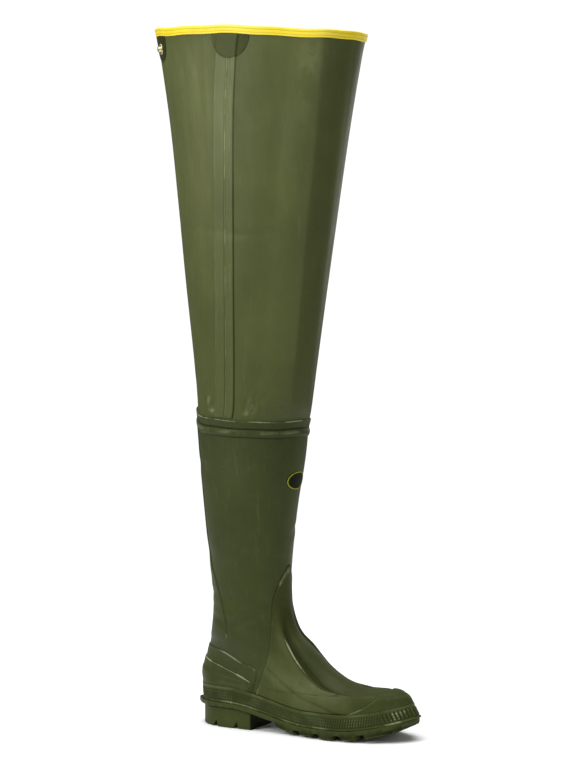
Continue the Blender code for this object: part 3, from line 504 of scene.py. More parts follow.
# Outsole
# The outsole is moulded in harder green-brown rubber: a bare shank under the arch, chevron cleats under the
# forefoot, and a small spur at the back for kicking the boot off. It is cemented under the shell.

SOLE_THICKNESS, LUG_DEPTH, SOLE_REACH, KICK_SPUR = 0.007, 0.006, 0.005, 0.0035
TOE_RECESS, SOLE_WAVE, LONG_WAVE, SHORT_WAVE = 0.0034, 0.0006, 0.0265, 0.0112
TREAD_X, LUG_PITCH, LUG_GROOVE, LUG_SWEEP = 0.0812, 0.031, 0.0095, 0.012
CUT_FROM, CUT_WIDTH, CUT_DEPTH = 0.0095, 0.0020, 0.0016
TOE_X, TOE_BEVEL = FOOT_LENGTH - HEEL_BACK, 0.035


def sole_plan(stations, reach, spur=0.0, toe_back=0.0, wave=0.0):
    """x and both sides' y of the sole's edge, at stations from 0 at the heel to 1 at the toe."""
    turn = np.arccos(1 - 2 * stations) / (2 * np.pi)
    sides = []
    for at in (turn, 1 - turn):
        way = boot_normal(at, np.zeros_like(at))
        way[:, 2] = 0.0
        way /= np.linalg.norm(way, axis=1, keepdims=True)
        out = reach + spur * bell(turn, 0.05) - toe_back * bell(turn - 0.5, 0.07)
        place = boot_face(at, 0.0)[:, 0]
        out += wave * np.sin(2 * np.pi * place / LONG_WAVE)
        out += 0.6 * wave * np.sin(2 * np.pi * place / SHORT_WAVE + 1.0)
        sides.append(boot_face(at, 0.0) + way * out[:, None])
    return (sides[0][:, 0] + sides[1][:, 0]) / 2, sides[0][:, 1], sides[1][:, 1]


def moulded_slab(name, plan, top, bottom, radii, finish, across=56, shaded=None):
    """A moulded piece under the foot, from its plan and the heights of its two faces, with rounded rims, and
    with painted shade where shaded gives it."""
    x, outer, inner = plan
    share = (1 - np.cos(np.pi * np.linspace(0, 1, across))) / 2
    y = outer[:, None] + (inner - outer)[:, None] * share
    place = np.repeat(x[:, None], across, axis=1)
    rim = np.minimum(y - outer[:, None], inner[:, None] - y)
    low, high = bottom(place, y), top(place)
    under, over = radii
    low = low + under - np.sqrt(np.maximum(under**2 - np.maximum(under - rim, 0.0) ** 2, 0.0))
    high = high - over + np.sqrt(np.maximum(over**2 - np.maximum(over - rim, 0.0) ** 2, 0.0))
    ring = np.concatenate([np.stack([place, y, low], -1), np.stack([place, y, high], -1)[:, ::-1]], axis=1)
    rows, columns = ring.shape[:2]
    under_row = np.arange(across)
    over_row = columns - 1 - under_row
    end = np.stack([under_row[:-1], under_row[1:], over_row[1:], over_row[:-1]], axis=-1)
    side = grid_faces(rows, columns, closed=True)[:, [0, 3, 2, 1]]
    faces = [side, end, (end + (rows - 1) * columns)[:, ::-1]]
    marks = {"painted_shade": shaded(ring[..., 0], ring[..., 2])} if shaded else None
    made = laid_mesh(name, ring.reshape(-1, 3), np.concatenate(faces), finish, marks)
    made.data.set_sharp_from_angle(angle=math.radians(38))
    return made


def chevrons(x, y, first, pitch, width, sweep, soft):
    """1 on the cleats and 0 in the grooves between them."""
    off = x - first - sweep * (1 - np.abs(y) / BALL_WIDTH)
    number = np.round((off - width / 2) / pitch)
    near = np.abs(off - width / 2 - np.maximum(number, 0) * pitch)
    return ease(width / 2 - soft, width / 2 + soft, near)


def outsole_bottom(x, y):
    """The shank, and the cleats with their fine cross cuts, bevelled off at the toe."""
    bevel = ease(TOE_X - TOE_BEVEL, TOE_X, x)
    cleats = chevrons(x, y, TREAD_X + LUG_PITCH - LUG_GROOVE, LUG_PITCH, LUG_GROOVE, LUG_SWEEP, 0.0018)
    cuts = chevrons(x, y, TREAD_X + CUT_FROM, LUG_PITCH, CUT_WIDTH, LUG_SWEEP, 0.0006)
    centre = 1 - 0.5 * (1 - ease(0.0012, 0.0024, np.abs(y - 0.002)))
    start = ease(TREAD_X - 0.0012, TREAD_X + 0.0012, x)
    away = 1 - ease(0.030, 0.044, np.abs(y))
    worn = 0.84 - 0.16 * np.cos(2 * np.pi * (x - TREAD_X) / (1.63 * LUG_PITCH)) * (1 - away)
    worn = np.where(away > 0, np.maximum(worn, away), worn)
    depth = LUG_DEPTH * (1 - bevel) * start * cleats * centre * worn - CUT_DEPTH * start * (1 - cuts) * away
    return sole_line(x) - SOLE_THICKNESS - np.maximum(depth, 0.0)


def sole_painted_shade(x, z):
    """Painted shade under the shank and in the grooves, away from the sole's side."""
    up = z - (sole_line(x) - SOLE_THICKNESS)
    return 0.9 * (1 - ease(0.0002, 0.0016, up)) * ease(-0.0045, -0.0010, up)


sole_rubber = rubber_finish(
    "sole_rubber", paint(47, 53, 23), paint(55, 62, 28), paint(136, 141, 104),
    roughness=0.48, grain=0.00016, scuffs=0.10, gloss=0.06,
)
sole_stations = (1 - np.cos(np.linspace(0.0775, np.pi - 0.0775, 300))) / 2
outsole_plan = sole_plan(sole_stations, SOLE_REACH, KICK_SPUR, TOE_RECESS, SOLE_WAVE)
outsole = moulded_slab(
    "outsole_slab", outsole_plan, sole_line, outsole_bottom, (0.0032, 0.0009), sole_rubber, shaded=sole_painted_shade
)
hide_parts("outsole")
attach(outsole, "root")

# Heel block
# A solid block of the same sole rubber under the heel, cemented to the outsole, with a square breast and two
# slanted notches across its tread that show on its side.

HEEL_LENGTH, HEEL_INSET, HEEL_GROOVE, NOTCH_DEPTH, NOTCH_SWEEP = 0.09, 0.004, 0.0075, 0.0078, 0.004
HEEL_NOTCHES = (0.34, 0.70)


def heel_bottom(x, y):
    """The flat tread and its two notches, each with a slanted roof."""
    height = np.zeros_like(x)
    for share in HEEL_NOTCHES:
        first = share * HEEL_LENGTH - HEEL_BACK - HEEL_GROOVE / 2
        across_notch = (x - first - NOTCH_SWEEP * (1 - np.abs(y) / BALL_WIDTH)) / HEEL_GROOVE
        height += NOTCH_DEPTH * ease(0.0, 0.95, across_notch) * (1 - ease(1.0, 1.16, across_notch))
    return height


def heel_top(x):
    """Just under the outsole."""
    return sole_line(x) - SOLE_THICKNESS - 2 * CURE_GAP


def breast_painted_shade(x, z):
    """Painted shade on the breast, under the arch."""
    return ease(HEEL_LENGTH - HEEL_BACK - 0.0022, HEEL_LENGTH - HEEL_BACK - 0.0008, x)


all_x = sole_plan(sole_stations, SOLE_REACH - HEEL_INSET)[0]
breast = np.interp(HEEL_LENGTH - HEEL_BACK, all_x, sole_stations)
heel_stations = np.concatenate([sole_stations[sole_stations < breast - 0.002], [breast]])
heel_plan = sole_plan(heel_stations, SOLE_REACH - HEEL_INSET)
heel = moulded_slab(
    "heel_block", heel_plan, heel_top, heel_bottom, (0.0010, 0.0004), sole_rubber, shaded=breast_painted_shade
)
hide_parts("heel")
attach(heel, "root")

# Insole
# A loose insole of grey-brown felted cloth, which lies in the boot on the outsole.

INSOLE_THICKNESS, INSOLE_PLAY = 0.003, 0.002


def insole_bottom(x, y):
    """Just over the outsole."""
    return sole_line(x) + CURE_GAP


def insole_top(x):
    """The insole's upper face."""
    return sole_line(x) + CURE_GAP + INSOLE_THICKNESS


felt, tree, shader, place = bare_finish("insole_felt")
hairs = clouds(tree, place, 900.0, 5.0, 0.7)
tree.links.new(blended(tree, hairs, paint(92, 88, 74), paint(128, 122, 104)), shader.inputs["Base Color"])
raised_hairs = add_node(tree, "Bump", {"Strength": 0.8, "Distance": 0.0004, "Height": hairs})
tree.links.new(raised_hairs.outputs[0], shader.inputs["Normal"])
shader.inputs["Roughness"].default_value = 0.95
insole_stations = (1 - np.cos(np.linspace(0.19, np.pi - 0.19, 120))) / 2
insole_plan = sole_plan(insole_stations, -LEG_WALL - INSOLE_PLAY)
insole = moulded_slab(
    "insole_felt", insole_plan, insole_top, insole_bottom, (0.0008, 0.0010), felt, across=32
)
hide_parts("insole")
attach(insole, "root")

# Foxing
# The foxing is a thick strip wrapped round the foot's lower edge to hold shell and sole together. It comes
# off a patterned roller: a bead along both borders, fine upright ribs between, and a coarse bumper at the toe.

FOXING_THICKNESS, RIB_DEPTH = 0.0022, 0.0009
FINE_RIB, SLANT_RIB, BUMPER_RIB, NUB_ROW = 0.0024, 0.0034, 0.0052, 0.0040
BUMPER_FROM, SLANT_FROM = 0.105, 0.20
ROPE_PITCH, ROW_HEIGHT = 0.0041, 0.022
foxing_turns = even_turns(0.5, 0.0, 1.0, 0.00056)[:-1]
foxing_rows = np.concatenate(
    [[0, 0.03, 0.07, 0.11, 0.15], np.linspace(0.19, 0.83, 19), [0.87, 0.91, 0.95, 0.98, 1.0]]
)
turn, level = np.meshgrid(foxing_turns, foxing_rows)
steps = np.linalg.norm(np.diff(boot_face(foxing_turns, 0.5), axis=0), axis=1)
run = np.concatenate([[0.0], np.cumsum(steps)])
run = np.abs(run - np.interp(0.5, foxing_turns, run))
from_toe = np.abs(foxing_turns - 0.5)
up = (level - 0.5) * ROW_HEIGHT


def ribs(along, pitch, sharp):
    """Rounded ribs a pitch apart."""
    return np.clip(0.5 + sharp * np.cos(2 * np.pi * along / pitch), 0.0, 1.0)


bumper = 1 - ease(BUMPER_FROM - 0.004, BUMPER_FROM, from_toe)
tip = 1 - ease(0.020, 0.034, from_toe)
slanted = (1 - ease(SLANT_FROM - 0.004, SLANT_FROM, from_toe)) * (1 - bumper)
coarse = ribs(run + 0.5 * up, SLANT_RIB, 0.8) * slanted + ribs(run, BUMPER_RIB, 0.9) * bumper
relief = ribs(run, FINE_RIB, 0.8) * (1 - bumper - slanted) + coarse
relief *= 1 - 0.5 * (1 - ribs(up, NUB_ROW, 0.75)) * (1 - tip)
band = ease(0.17, 0.24, level) * (1 - ease(0.78, 0.84, level))
rope = 1 - 0.35 * ribs(run + 0.6 * up, ROPE_PITCH, 0.7) * (1 - bumper)
low_bead = np.sqrt(np.maximum(1 - ((level - 0.06) / 0.08) ** 2, 0.0)) * rope * (1 + 0.6 * bumper)
high_bead = np.sqrt(np.maximum(1 - ((level - 0.93) / 0.08) ** 2, 0.0))
raised = band * relief * (0.75 + 0.55 * bumper * (1 - 0.6 * tip)) + low_bead + 0.45 * high_bead
lift = CURE_GAP + FOXING_THICKNESS + RIB_DEPTH * raised
lift[-1] -= 0.0004
# Painted shade in the grooves between the ribs and just above the low bead.
groove_shade = np.clip(band * (1 - relief) * 0.62 + 0.8 * bell(level - 0.165, 0.03), 0, 1)
# Painted highlights: glints on the low bead at the waist, the heel and the toe, on the rib crests (strongest
# on the toe's bumper) and faintly on the high bead.
waist_glint = ease(0.19, 0.21, from_toe) * (1 - ease(0.25, 0.28, from_toe))
heel_glint = ease(0.30, 0.34, from_toe) * (1 - ease(0.455, 0.48, from_toe))
toe_glint = bumper * ease(0.034, 0.050, from_toe)
bead_glint = (0.95 * (heel_glint + waist_glint) + 1.1 * toe_glint) * low_bead**2
rib_glint = (0.24 + 0.85 * toe_glint) * band * relief**2
crest_highlights = np.clip(bead_glint + rib_glint + 0.18 * high_bead**4, 0, 1)
foxing = rubber_sheet(
    "foxing_strip", foxing_turns, foxing_rows, lift, FOXING_THICKNESS, sole_rubber,
    closed=True, marks={"painted_shade": groove_shade, "painted_highlight": crest_highlights},
)
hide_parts("foxing")
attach(foxing, "root")

# Vamp
# A second sheet of rubber over the forefoot and up the shin, where the boot meets brush and gravel. Its rear
# edge sweeps up to an arc on the shin, and a thicker ply inside it stops along a line above the foxing.

SHEET, SHEET_WALL, SHEET_TRIM = 0.0012, 0.0008, 0.0016
PLY_VALLEY = 0.0010
FOOT_BACK, FOOT_SPAN, INSTEP_HEIGHT = -0.0420, 0.3080, 0.1055
VAMP_EDGE = (
    # x as a share of the foot, z as a share of the instep's height
    (0.290, 0.30),
    (0.302, 0.47),
    (0.325, 0.63),
    (0.346, 0.78),
    (0.368, 0.93),
    (0.372, 1.10),
    (0.365, 1.27),
    (0.359, 1.54),
    (0.362, 1.66),
    (0.370, 1.76),
    (0.381, 1.88),
    (0.392, 1.99),
    (0.3985, 2.07),
    (0.412, 2.12),
)
VAMP_PLY = (
    # x, z of the thicker ply's lower edge
    (0.0540, 0.1050),
    (0.0573, 0.0975),
    (0.0729, 0.0839),
    (0.0947, 0.0665),
    (0.1194, 0.0526),
    (0.1506, 0.0434),
    (0.1753, 0.0353),
    (0.2000, 0.0310),
)


def drawn(points, count=60):
    """A smooth line drawn through a few points."""
    at = np.linspace(0, len(points) - 1, count)
    numbers = np.arange(len(points))
    return np.stack([through(numbers, [point[axis] for point in points], at) for axis in (0, 1)], axis=-1)


def side_line(edge):
    """An edge given in shares of the foot and instep, drawn in metres in the side view."""
    return drawn([(FOOT_BACK + FOOT_SPAN * x, INSTEP_HEIGHT * z) for x, z in edge])


def ahead_of(edge):
    """The outline of all that lies in front of an edge, from the floor to the edge's top."""
    rear = side_line(edge)
    return np.concatenate([[(0.35, -0.02), (rear[0][0], -0.02)], rear, [(0.35, rear[-1][1])]])


def inside_outline(outline, x, z):
    """Metres inside a closed outline, and less than nothing outside it."""
    start = np.asarray(outline, float)
    along = np.roll(start, -1, axis=0) - start
    nearest = np.full(x.shape, np.inf)
    crossings = np.zeros(x.shape, int)
    for (sx, sz), (ax, az) in zip(start, along):
        share = np.clip(((x - sx) * ax + (z - sz) * az) / max(ax * ax + az * az, 1e-18), 0.0, 1.0)
        nearest = np.minimum(nearest, np.hypot(x - sx - share * ax, z - sz - share * az))
        if az:
            spans = (sz > z) != (sz + az > z)
            crossings += spans & (x < sx + (z - sz) * ax / az)
    return np.where(crossings % 2 == 1, nearest, -nearest)


def feathered(inside, carrier, thickness, soft=0.0011, tuck=0.0007):
    """Lift of a cured-on sheet at a distance inside its edge: rounded up from what carries it, and tucked
    under that outside the edge."""
    return carrier + thickness * ease(-0.1 * soft, soft, inside) - tuck * (1 - ease(-soft, 0.0, inside))


def edge_marks(inside, strength=1.0):
    """A painted shadow line where a sheet is seated, and a painted highlight along its edge."""
    painted_shade = bell(inside - 0.0001, 0.0006)
    painted_highlight = bell(inside - 0.0013, 0.0007)
    return {"painted_shade": strength * painted_shade, "painted_highlight": strength * painted_highlight}


# Paler than the leg's rubber: painted light on the vamp, which faces up into the overhead light.
vamp_rubber = rubber_finish(
    "vamp_rubber", paint(52, 58, 26), paint(60, 66, 30), paint(139, 143, 98),
    roughness=0.44, grain=0.00010, scuffs=0.10, gloss=0.08,
)
vamp_turns = even_turns(2.0, 0.16, 0.84, 0.00165)
vamp_levels = even_levels(1.005, 8.6, 0.0014)
turn, level = np.meshgrid(vamp_turns, vamp_levels)
ahead, _, height = np.moveaxis(boot_face(turn, level), -1, 0)
inside = inside_outline(ahead_of(VAMP_EDGE), ahead, height)
ply_outline = np.concatenate([drawn(VAMP_PLY), [(0.40, 0.03), (0.40, 0.40), (0.054, 0.40)]])
over_ply = inside_outline(ply_outline, ahead, height)
# Painted shade: a line along the rear edge, in the valley at the ply's edge, in the instep troughs, over the
# tongue and toe box, and darker up the shin. Painted highlights along the rear edge in two strokes, low and
# high. Painted light on the outer side and on the swells beside the beads.
marks = edge_marks(inside, 0.8)
strokes = in_span(height, 0.044, 0.078, 0.006) + in_span(height, 0.180, 0.230, 0.008)
marks["painted_highlight"] *= np.clip(0.12 + 0.75 * strokes, 0, 1)
ply_valley = bell(over_ply + 0.0012, 0.0024) * ease(0.001, 0.006, inside)
push, trough = instep_form(turn, level)
swell = np.clip(push / (SWELL_HEIGHT * np.where(turn > 0.5, INNER_SWELL, 1.0)), 0, 1)
tongue = (1 - ease(0.085, 0.130, np.abs(turn - 0.5))) * (1 - ease(5.2, 7.2, level))
toe_box = ease(0.122, 0.168, ahead)
shade = np.maximum(0.28 * tongue, 0.27 * toe_box) + 0.30 * ease(5.2, 7.2, level)
marks["painted_shade"] = np.clip(marks["painted_shade"] + 0.42 * ply_valley + 0.34 * trough + shade, 0, 1)
marks["painted_light"] = 0.12 * in_span(turn, 0.25, 0.350, 0.014) * in_span(level, 1.2, 5.4, 1.0)
marks["painted_light"] += swell * np.where(turn > 0.5, 0.45, 0.10)
lift = feathered(inside, 0.0, SHEET) - PLY_VALLEY * ply_valley
vamp = rubber_sheet(
    "vamp_sheet", vamp_turns, vamp_levels, lift, SHEET_WALL, vamp_rubber,
    seen=inside > -SHEET_TRIM, marks=marks,
)
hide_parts("vamp")
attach(vamp, "root")

# Instep beads
# Two round beads of rubber, one down each side of the instep from the ankle towards the toe. They are cured
# onto the vamp, and stiffen the tongue of rubber between them.

BEAD_WIDTH, BEAD_HEIGHT, BEAD_SEAT, RIBBON_WALL = 0.0046, 0.0018, 0.0008, 0.0006
BEAD_LINE = ((2.20, 0.372), *INSTEP_LINE[1:8])


def ribbon(name, levels, middle, width, relief, finish, marks, columns=17):
    """A strip up the boot: middle gives its turn at each level, relief its lift at each metre across."""
    across = np.linspace(-0.5, 0.5, columns) * width
    centre = middle(levels)
    turn = centre[:, None] + across / girth(centre, levels)[:, None]
    level = np.repeat(levels[:, None], columns, axis=1)
    across = np.broadcast_to(across, turn.shape)
    points = stand_off(turn, level, relief(across, level)).reshape(-1, 3)
    words = {word: mark(across, level) for word, mark in marks.items()}
    return laid_mesh(name, points, grid_faces(*turn.shape), finish, words, RIBBON_WALL)


def bead_relief(across, level):
    """A round bead that runs out at both ends."""
    ends = ease(2.70, 3.70, level) * (1 - ease(5.90, 6.80, level))
    round_it = np.sqrt(np.maximum(1 - (2 * across / BEAD_WIDTH) ** 2, 0.0))
    return BEAD_SEAT + (SHEET + BEAD_HEIGHT - BEAD_SEAT) * round_it * ends


def bead_highlight(across, level):
    """A painted highlight along the crest, strong over the bend of the instep."""
    return bell(across, 0.0011) * (0.18 + 1.35 * in_span(level, 4.9, 6.5, 0.35))


# Painted shade along both sides of each bead, and a painted highlight along its crest.
bead_marks = {
    "painted_shade": lambda across, level: 0.6 * bell(np.abs(across) - 0.48 * BEAD_WIDTH, 0.0004),
    "painted_highlight": bead_highlight,
}
bead_levels = even_levels(2.20, 6.85, 0.0012)
for side, name in ((1, "outer"), (-INNER_SHARE, "inner")):
    bead = ribbon(
        f"instep_bead_{name}_rib", bead_levels, lambda at: 0.5 + side * (from_table(BEAD_LINE, at) - 0.5),
        BEAD_WIDTH, bead_relief, leg_rubber, bead_marks,
    )
    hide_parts(f"instep_bead_{name}")
    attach(bead, "root")

# Toe cap
# A thick moulded cap of sole rubber over the toe. It is cured on top of the vamp and into the foxing's
# bumper. A painted highlight runs along its rear edge, with painted shade along that edge and faintly over the
# cap.

CAP_THICKNESS, CAP_WALL = 0.0016, 0.0014
TOE_CAP_EDGE = (
    # x as a share of the foot, z as a share of the instep's height
    (0.690, 0.12),
    (0.700, 0.22),
    (0.748, 0.335),
    (0.790, 0.395),
    (0.822, 0.45),
    (0.850, 0.53),
    (0.868, 0.75),
)
cap_turns = even_turns(1.6, 0.33, 0.67, 0.0011)
cap_levels = even_levels(1.005, 3.6, 0.0011)
turn, level = np.meshgrid(cap_turns, cap_levels)
ahead, _, height = np.moveaxis(boot_face(turn, level), -1, 0)
inside = inside_outline(ahead_of(TOE_CAP_EDGE), ahead, height)
lift = feathered(inside, SHEET, CAP_THICKNESS, 0.0016)
# Painted shade and a painted highlight along the rear edge, the highlight strongest low down; painted shade
# faintly over the whole cap.
marks = edge_marks(inside)
marks["painted_highlight"] *= 0.30 + 1.1 * in_span(height, 0.044, 0.058, 0.006)
marks["painted_shade"] += 0.10 * ease(0, 0.001, inside)
toe_cap = rubber_sheet(
    "toe_cap_shell", cap_turns, cap_levels, lift, CAP_WALL, sole_rubber,
    seen=inside > -SHEET_TRIM, marks=marks,
)
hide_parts("toe_cap")
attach(toe_cap, "root")

# Heel counters
# Two sheets of rubber cupped round the heel, the shorter over the taller, to hold it firm. Their edges step
# down towards the waist of the foot.

COUNTER_LOW = (
    # x as a share of the foot, z as a share of the instep's height
    (-0.060, 0.90),
    (-0.030, 0.88),
    (0.170, 0.735),
    (0.282, 0.595),
    (0.262, 0.47),
    (0.255, 0.30),
)
COUNTER_HIGH = (
    # x as a share of the foot, z as a share of the instep's height
    (-0.060, 1.03),
    (-0.030, 1.02),
    (0.130, 0.965),
    (0.226, 0.855),
    (0.308, 0.750),
    (0.280, 0.47),
    (0.270, 0.30),
)
counter_turns = even_turns(1.6, -0.24, 0.24, 0.0016)
counter_levels = even_levels(1.005, 6.6, 0.0013)
turn, level = np.meshgrid(counter_turns, counter_levels)
ahead, _, height = np.moveaxis(boot_face(turn, level), -1, 0)
COUNTERS = (
    # node, edge, lift of what carries it, x and z from which its edge has a painted highlight, strength of
    # that highlight
    ("heel_counter_inner", COUNTER_HIGH, 0.0, -0.012, 0.080, 1.0),
    ("heel_counter_outer", COUNTER_LOW, SHEET, -0.043, 0.063, 1.55),
)
for node, edge, carrier, stroke_from, stroke_foot, strength in COUNTERS:
    rear = side_line(edge)
    outline = np.concatenate([rear, [(rear[-1][0], -0.02), (-0.10, -0.02), (-0.10, rear[0][1])]])
    inside = inside_outline(outline, ahead, height)
    lift = feathered(inside, carrier, SHEET)
    # Painted shade along each edge, stronger high up, and a painted highlight along its upper front part.
    marks = edge_marks(inside)
    above = ease(stroke_foot - 0.003, stroke_foot + 0.003, height)
    marks["painted_highlight"] *= strength * above * ease(stroke_from - 0.006, stroke_from + 0.006, ahead)
    marks["painted_shade"] *= 0.25 + 0.45 * above
    counter = rubber_sheet(
        node + "_sheet", counter_turns, counter_levels, lift, SHEET_WALL, leg_rubber,
        seen=inside > -SHEET_TRIM, marks=marks,
    )
    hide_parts(node)
    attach(counter, "root")

# Back strip
# A long strip of sheet rubber over the leg's back seam, narrow at the knee and spread over the tendon at the
# ankle. Its foot runs out into the leg just above the heel counters.

BACK_STRIP_EDGE = (
    # x as a share of the foot, z as a share of the instep's height
    (0.172, 1.05),
    (0.168, 1.25),
    (0.142, 1.55),
    (0.110, 1.82),
    (0.071, 2.08),
    (0.039, 2.56),
    (0.022, 3.33),
    (0.012, 3.66),
    (0.010, 3.76),
)
strip_turns = even_turns(7.0, -0.20, 0.20, 0.0016)
strip_levels = even_levels(5.45, 9.985, 0.0018)
turn, level = np.meshgrid(strip_turns, strip_levels)
ahead, _, height = np.moveaxis(boot_face(turn, level), -1, 0)
front = side_line(BACK_STRIP_EDGE)
inside = inside_outline(np.concatenate([front, [(-0.10, front[-1][1]), (-0.10, front[0][1])]]), ahead, height)
run_out = ease(0.1095, 0.1220, height)
lift = feathered(inside, 0.0, SHEET) * run_out - 0.0005 * (1 - run_out)
# Painted shade and a painted highlight along the strip's edge, the highlight strongest near its foot.
marks = edge_marks(inside, 0.75)
marks["painted_highlight"] *= run_out * (0.06 + 1.1 * in_span(height, 0.114, 0.124, 0.006))
marks["painted_shade"] *= run_out
back_strip = rubber_sheet(
    "back_strip_sheet", strip_turns, strip_levels, lift, SHEET_WALL, leg_rubber,
    seen=inside > -SHEET_TRIM, marks=marks,
)
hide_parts("back_strip")
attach(back_strip, "root")

# Knee bands
# Two bands of rubber rolled down over the lap of leg and thigh. The upper one is flat, leans outward and has
# a painted highlight on its rim, and the lower one is round, with a painted highlight on its crown. Both sag
# in front and rise at the back, with painted shade along each band's lower edge and faintly along its upper
# one.

KNEE_Z, BAND_FROM, BAND_TO, BAND_LAP = 0.398, 0.0001, 0.0113, 0.0004
BAND_THICKNESS, BAND_SINK, BAND_ROWS, BAND_SIDES = 0.0018, 0.0008, 19, 230
RISE_BEHIND, SAG_BEFORE = 0.0105, 0.0016
band_turns = np.arange(BAND_SIDES) / BAND_SIDES
turn, across = np.meshgrid(band_turns, np.linspace(-1, 1, BAND_ROWS))
from_back = (band_turns + 0.5) % 1.0 - 0.5
band_rise = RISE_BEHIND * bell(from_back - 0.035, 0.070) - SAG_BEFORE * bell(band_turns - 0.33, 0.09)
band_rise += 0.0012 * np.cos(2 * np.pi * (band_turns - 0.12)) + 0.0004 * np.sin(14 * np.pi * band_turns)
upper_crown = (0.30 + 0.35 * (across + 1)) * (1 - ease(0.84, 1.0, across))
lower_crown = 0.95 * (1 - across**2) ** 0.7
for node, low, high, crown, highlight_share in (
    ("knee_band_upper", BAND_FROM, BAND_TO, upper_crown, 1.2 * bell(across - 0.80, 0.09)),
    ("knee_band_lower", -BAND_TO, -BAND_FROM, lower_crown, 0.30 * bell(across - 0.25, 0.35)),
):
    height = KNEE_Z + np.linspace(low - BAND_LAP, high + BAND_LAP, BAND_ROWS)[:, None] + band_rise
    level_line = np.linspace(9, 11, 400)
    level = np.interp(height, boot_face(0.25, level_line)[:, 2], level_line)
    lift = CURE_GAP - BAND_SINK + (BAND_THICKNESS + BAND_SINK) * crown
    painted_shade = np.clip(bell(across + 0.94, 0.26) + 0.4 * bell(across - 1, 0.1), 0, 1)
    points = stand_off(turn, level, lift).reshape(-1, 3)
    faces = grid_faces(BAND_ROWS, BAND_SIDES, closed=True)
    marks = {"painted_shade": painted_shade, "painted_highlight": highlight_share}
    knee_band = laid_mesh(node + "_roll", points, faces, leg_rubber, marks, RIBBON_WALL)
    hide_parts(node)
    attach(knee_band, "root")

# Side seam strip
# Rubber tape over the thigh's side seam, from the knee band to the collar. The seam's edge shows through it
# as a line down its middle. Its front border lies on the step of the lapped cloth, so a painted shadow line
# makes it the darker one.

STRIP_WIDTH, STRIP_THICKNESS, SEAM_RIDGE, RIDGE_HEIGHT, STEP_HEIGHT = 0.032, 0.0010, 0.0029, 0.0007, 0.0006
STRIP_LINE = (
    # level, turn of the strip's middle
    (10.0, 0.2232),
    (11.0, 0.2265),
    (12.0, 0.2320),
    (13.1, 0.2376),
    (13.9, 0.2449),
    (14.6, 0.2506),
    (15.0, 0.2530),
)
# A paler copy of the thigh's rubber: painted light on the tape, which lies in the sheen.
seam_rubber = rubber_finish(
    "seam_rubber", paint(77, 83, 45), paint(84, 90, 50), paint(146, 150, 112),
    roughness=0.40, grain=0.00008, scuffs=0.12, gloss=0.24,
)


def strip_middle(level):
    """The strip's middle, which leans forward as it climbs."""
    return from_table(STRIP_LINE, level)


def strip_relief(across, level):
    """A flat tape with feathered borders, a ridge down its middle and a step at its front."""
    inside = STRIP_WIDTH / 2 - 0.0006 - np.abs(across)
    raised = RIDGE_HEIGHT * bell(across - SEAM_RIDGE, 0.0009) + STEP_HEIGHT * ease(0.008, 0.0095, across)
    turn = strip_middle(level) + across / girth(strip_middle(level), level)
    return feathered(inside, 0.0, STRIP_THICKNESS) + raised * ease(0, 0.001, inside) + folded(turn, level)


def seam_shade(across, level):
    """Painted shadow lines, faint at the rear border and beside the ridge and strong at the front border, and
    painted shade towards the knee.
    """
    rear = 0.60 * bell(across + STRIP_WIDTH / 2 - 0.0010, 0.0005)
    front = 1.2 * bell(across - STRIP_WIDTH / 2 + 0.0012, 0.0007)
    beside_ridge = 0.65 * bell(across - SEAM_RIDGE + 0.0017, 0.0006)
    return np.clip(rear + front + beside_ridge + 1.1 * knee_shade(level), 0, 1)


def seam_highlight(across, level):
    """Painted highlights: along the ridge, and faint ones inside both borders, all fading towards the knee."""
    fade = 0.25 + 0.75 * ease(11.0, 13.6, level)
    rear = 0.35 * bell(across + STRIP_WIDTH / 2 - 0.0024, 0.0007)
    ridge = 0.75 * bell(across - SEAM_RIDGE, 0.0008)
    front = 0.25 * bell(across - 0.0098, 0.0010)
    return fade * (rear + ridge + front)


def seam_sheen(across, level):
    """Painted light on the strip's upper part."""
    return (0.10 + 0.20 * in_span(level, 12.9, 14.6, 0.4)) * ease(11.4, 13.2, level)


seam_marks = {"painted_shade": seam_shade, "painted_highlight": seam_highlight, "painted_light": seam_sheen}
seam_levels = even_levels(10.30, 14.72, 0.0038)
seam_strip = ribbon(
    "seam_strip_tape", seam_levels, strip_middle, STRIP_WIDTH, strip_relief, seam_rubber, seam_marks,
    columns=49,
)
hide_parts("seam_strip")
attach(seam_strip, "root")

# Seam patch
# A half-round patch of sheet rubber that locks the end of the side seam under the collar. It is cured over
# the seam strip, whose front border shows through it.

PATCH_TURN, PATCH_HALF, PATCH_DROP, PATCH_THICKNESS = 0.2545, 0.0275, 0.030, 0.0011
STRIP_SHEET, PATCH_REACH, UNDER_BINDING = 0.0012, 0.034, 0.0098


def beside(turn, level, at):
    """Metres round the boot and up from a place under the collar's top edge."""
    start = boot_face(at, TOP_LEVEL)
    round_it = boot_face(at + 0.002, TOP_LEVEL) - boot_face(at - 0.002, TOP_LEVEL)
    round_it /= np.linalg.norm(round_it)
    off = boot_face(turn, level) - start
    return off @ round_it, off[..., 2]


def patch_lift(turn, level, inside, thickness):
    """A patch laid over the thigh's folds, and over the seam strip where that passes under it."""
    across = (turn - strip_middle(level)) * girth(turn, level)
    over = 1 - ease(STRIP_WIDTH / 2 - 0.002, STRIP_WIDTH / 2 + 0.001, np.abs(across))
    return feathered(inside, STRIP_SHEET * over, thickness) + folded(turn, level)


patch_turns = np.linspace(PATCH_TURN - PATCH_REACH, PATCH_TURN + PATCH_REACH, 76)
patch_levels = np.linspace(13.95, 14.73, 60)
turn, level = np.meshgrid(patch_turns, patch_levels)
across, up = beside(turn, level, PATCH_TURN)
down = np.maximum(-UNDER_BINDING - up, 0.0)
inside = (1 - np.sqrt((across / PATCH_HALF) ** 2 + (down / PATCH_DROP) ** 2)) * PATCH_HALF
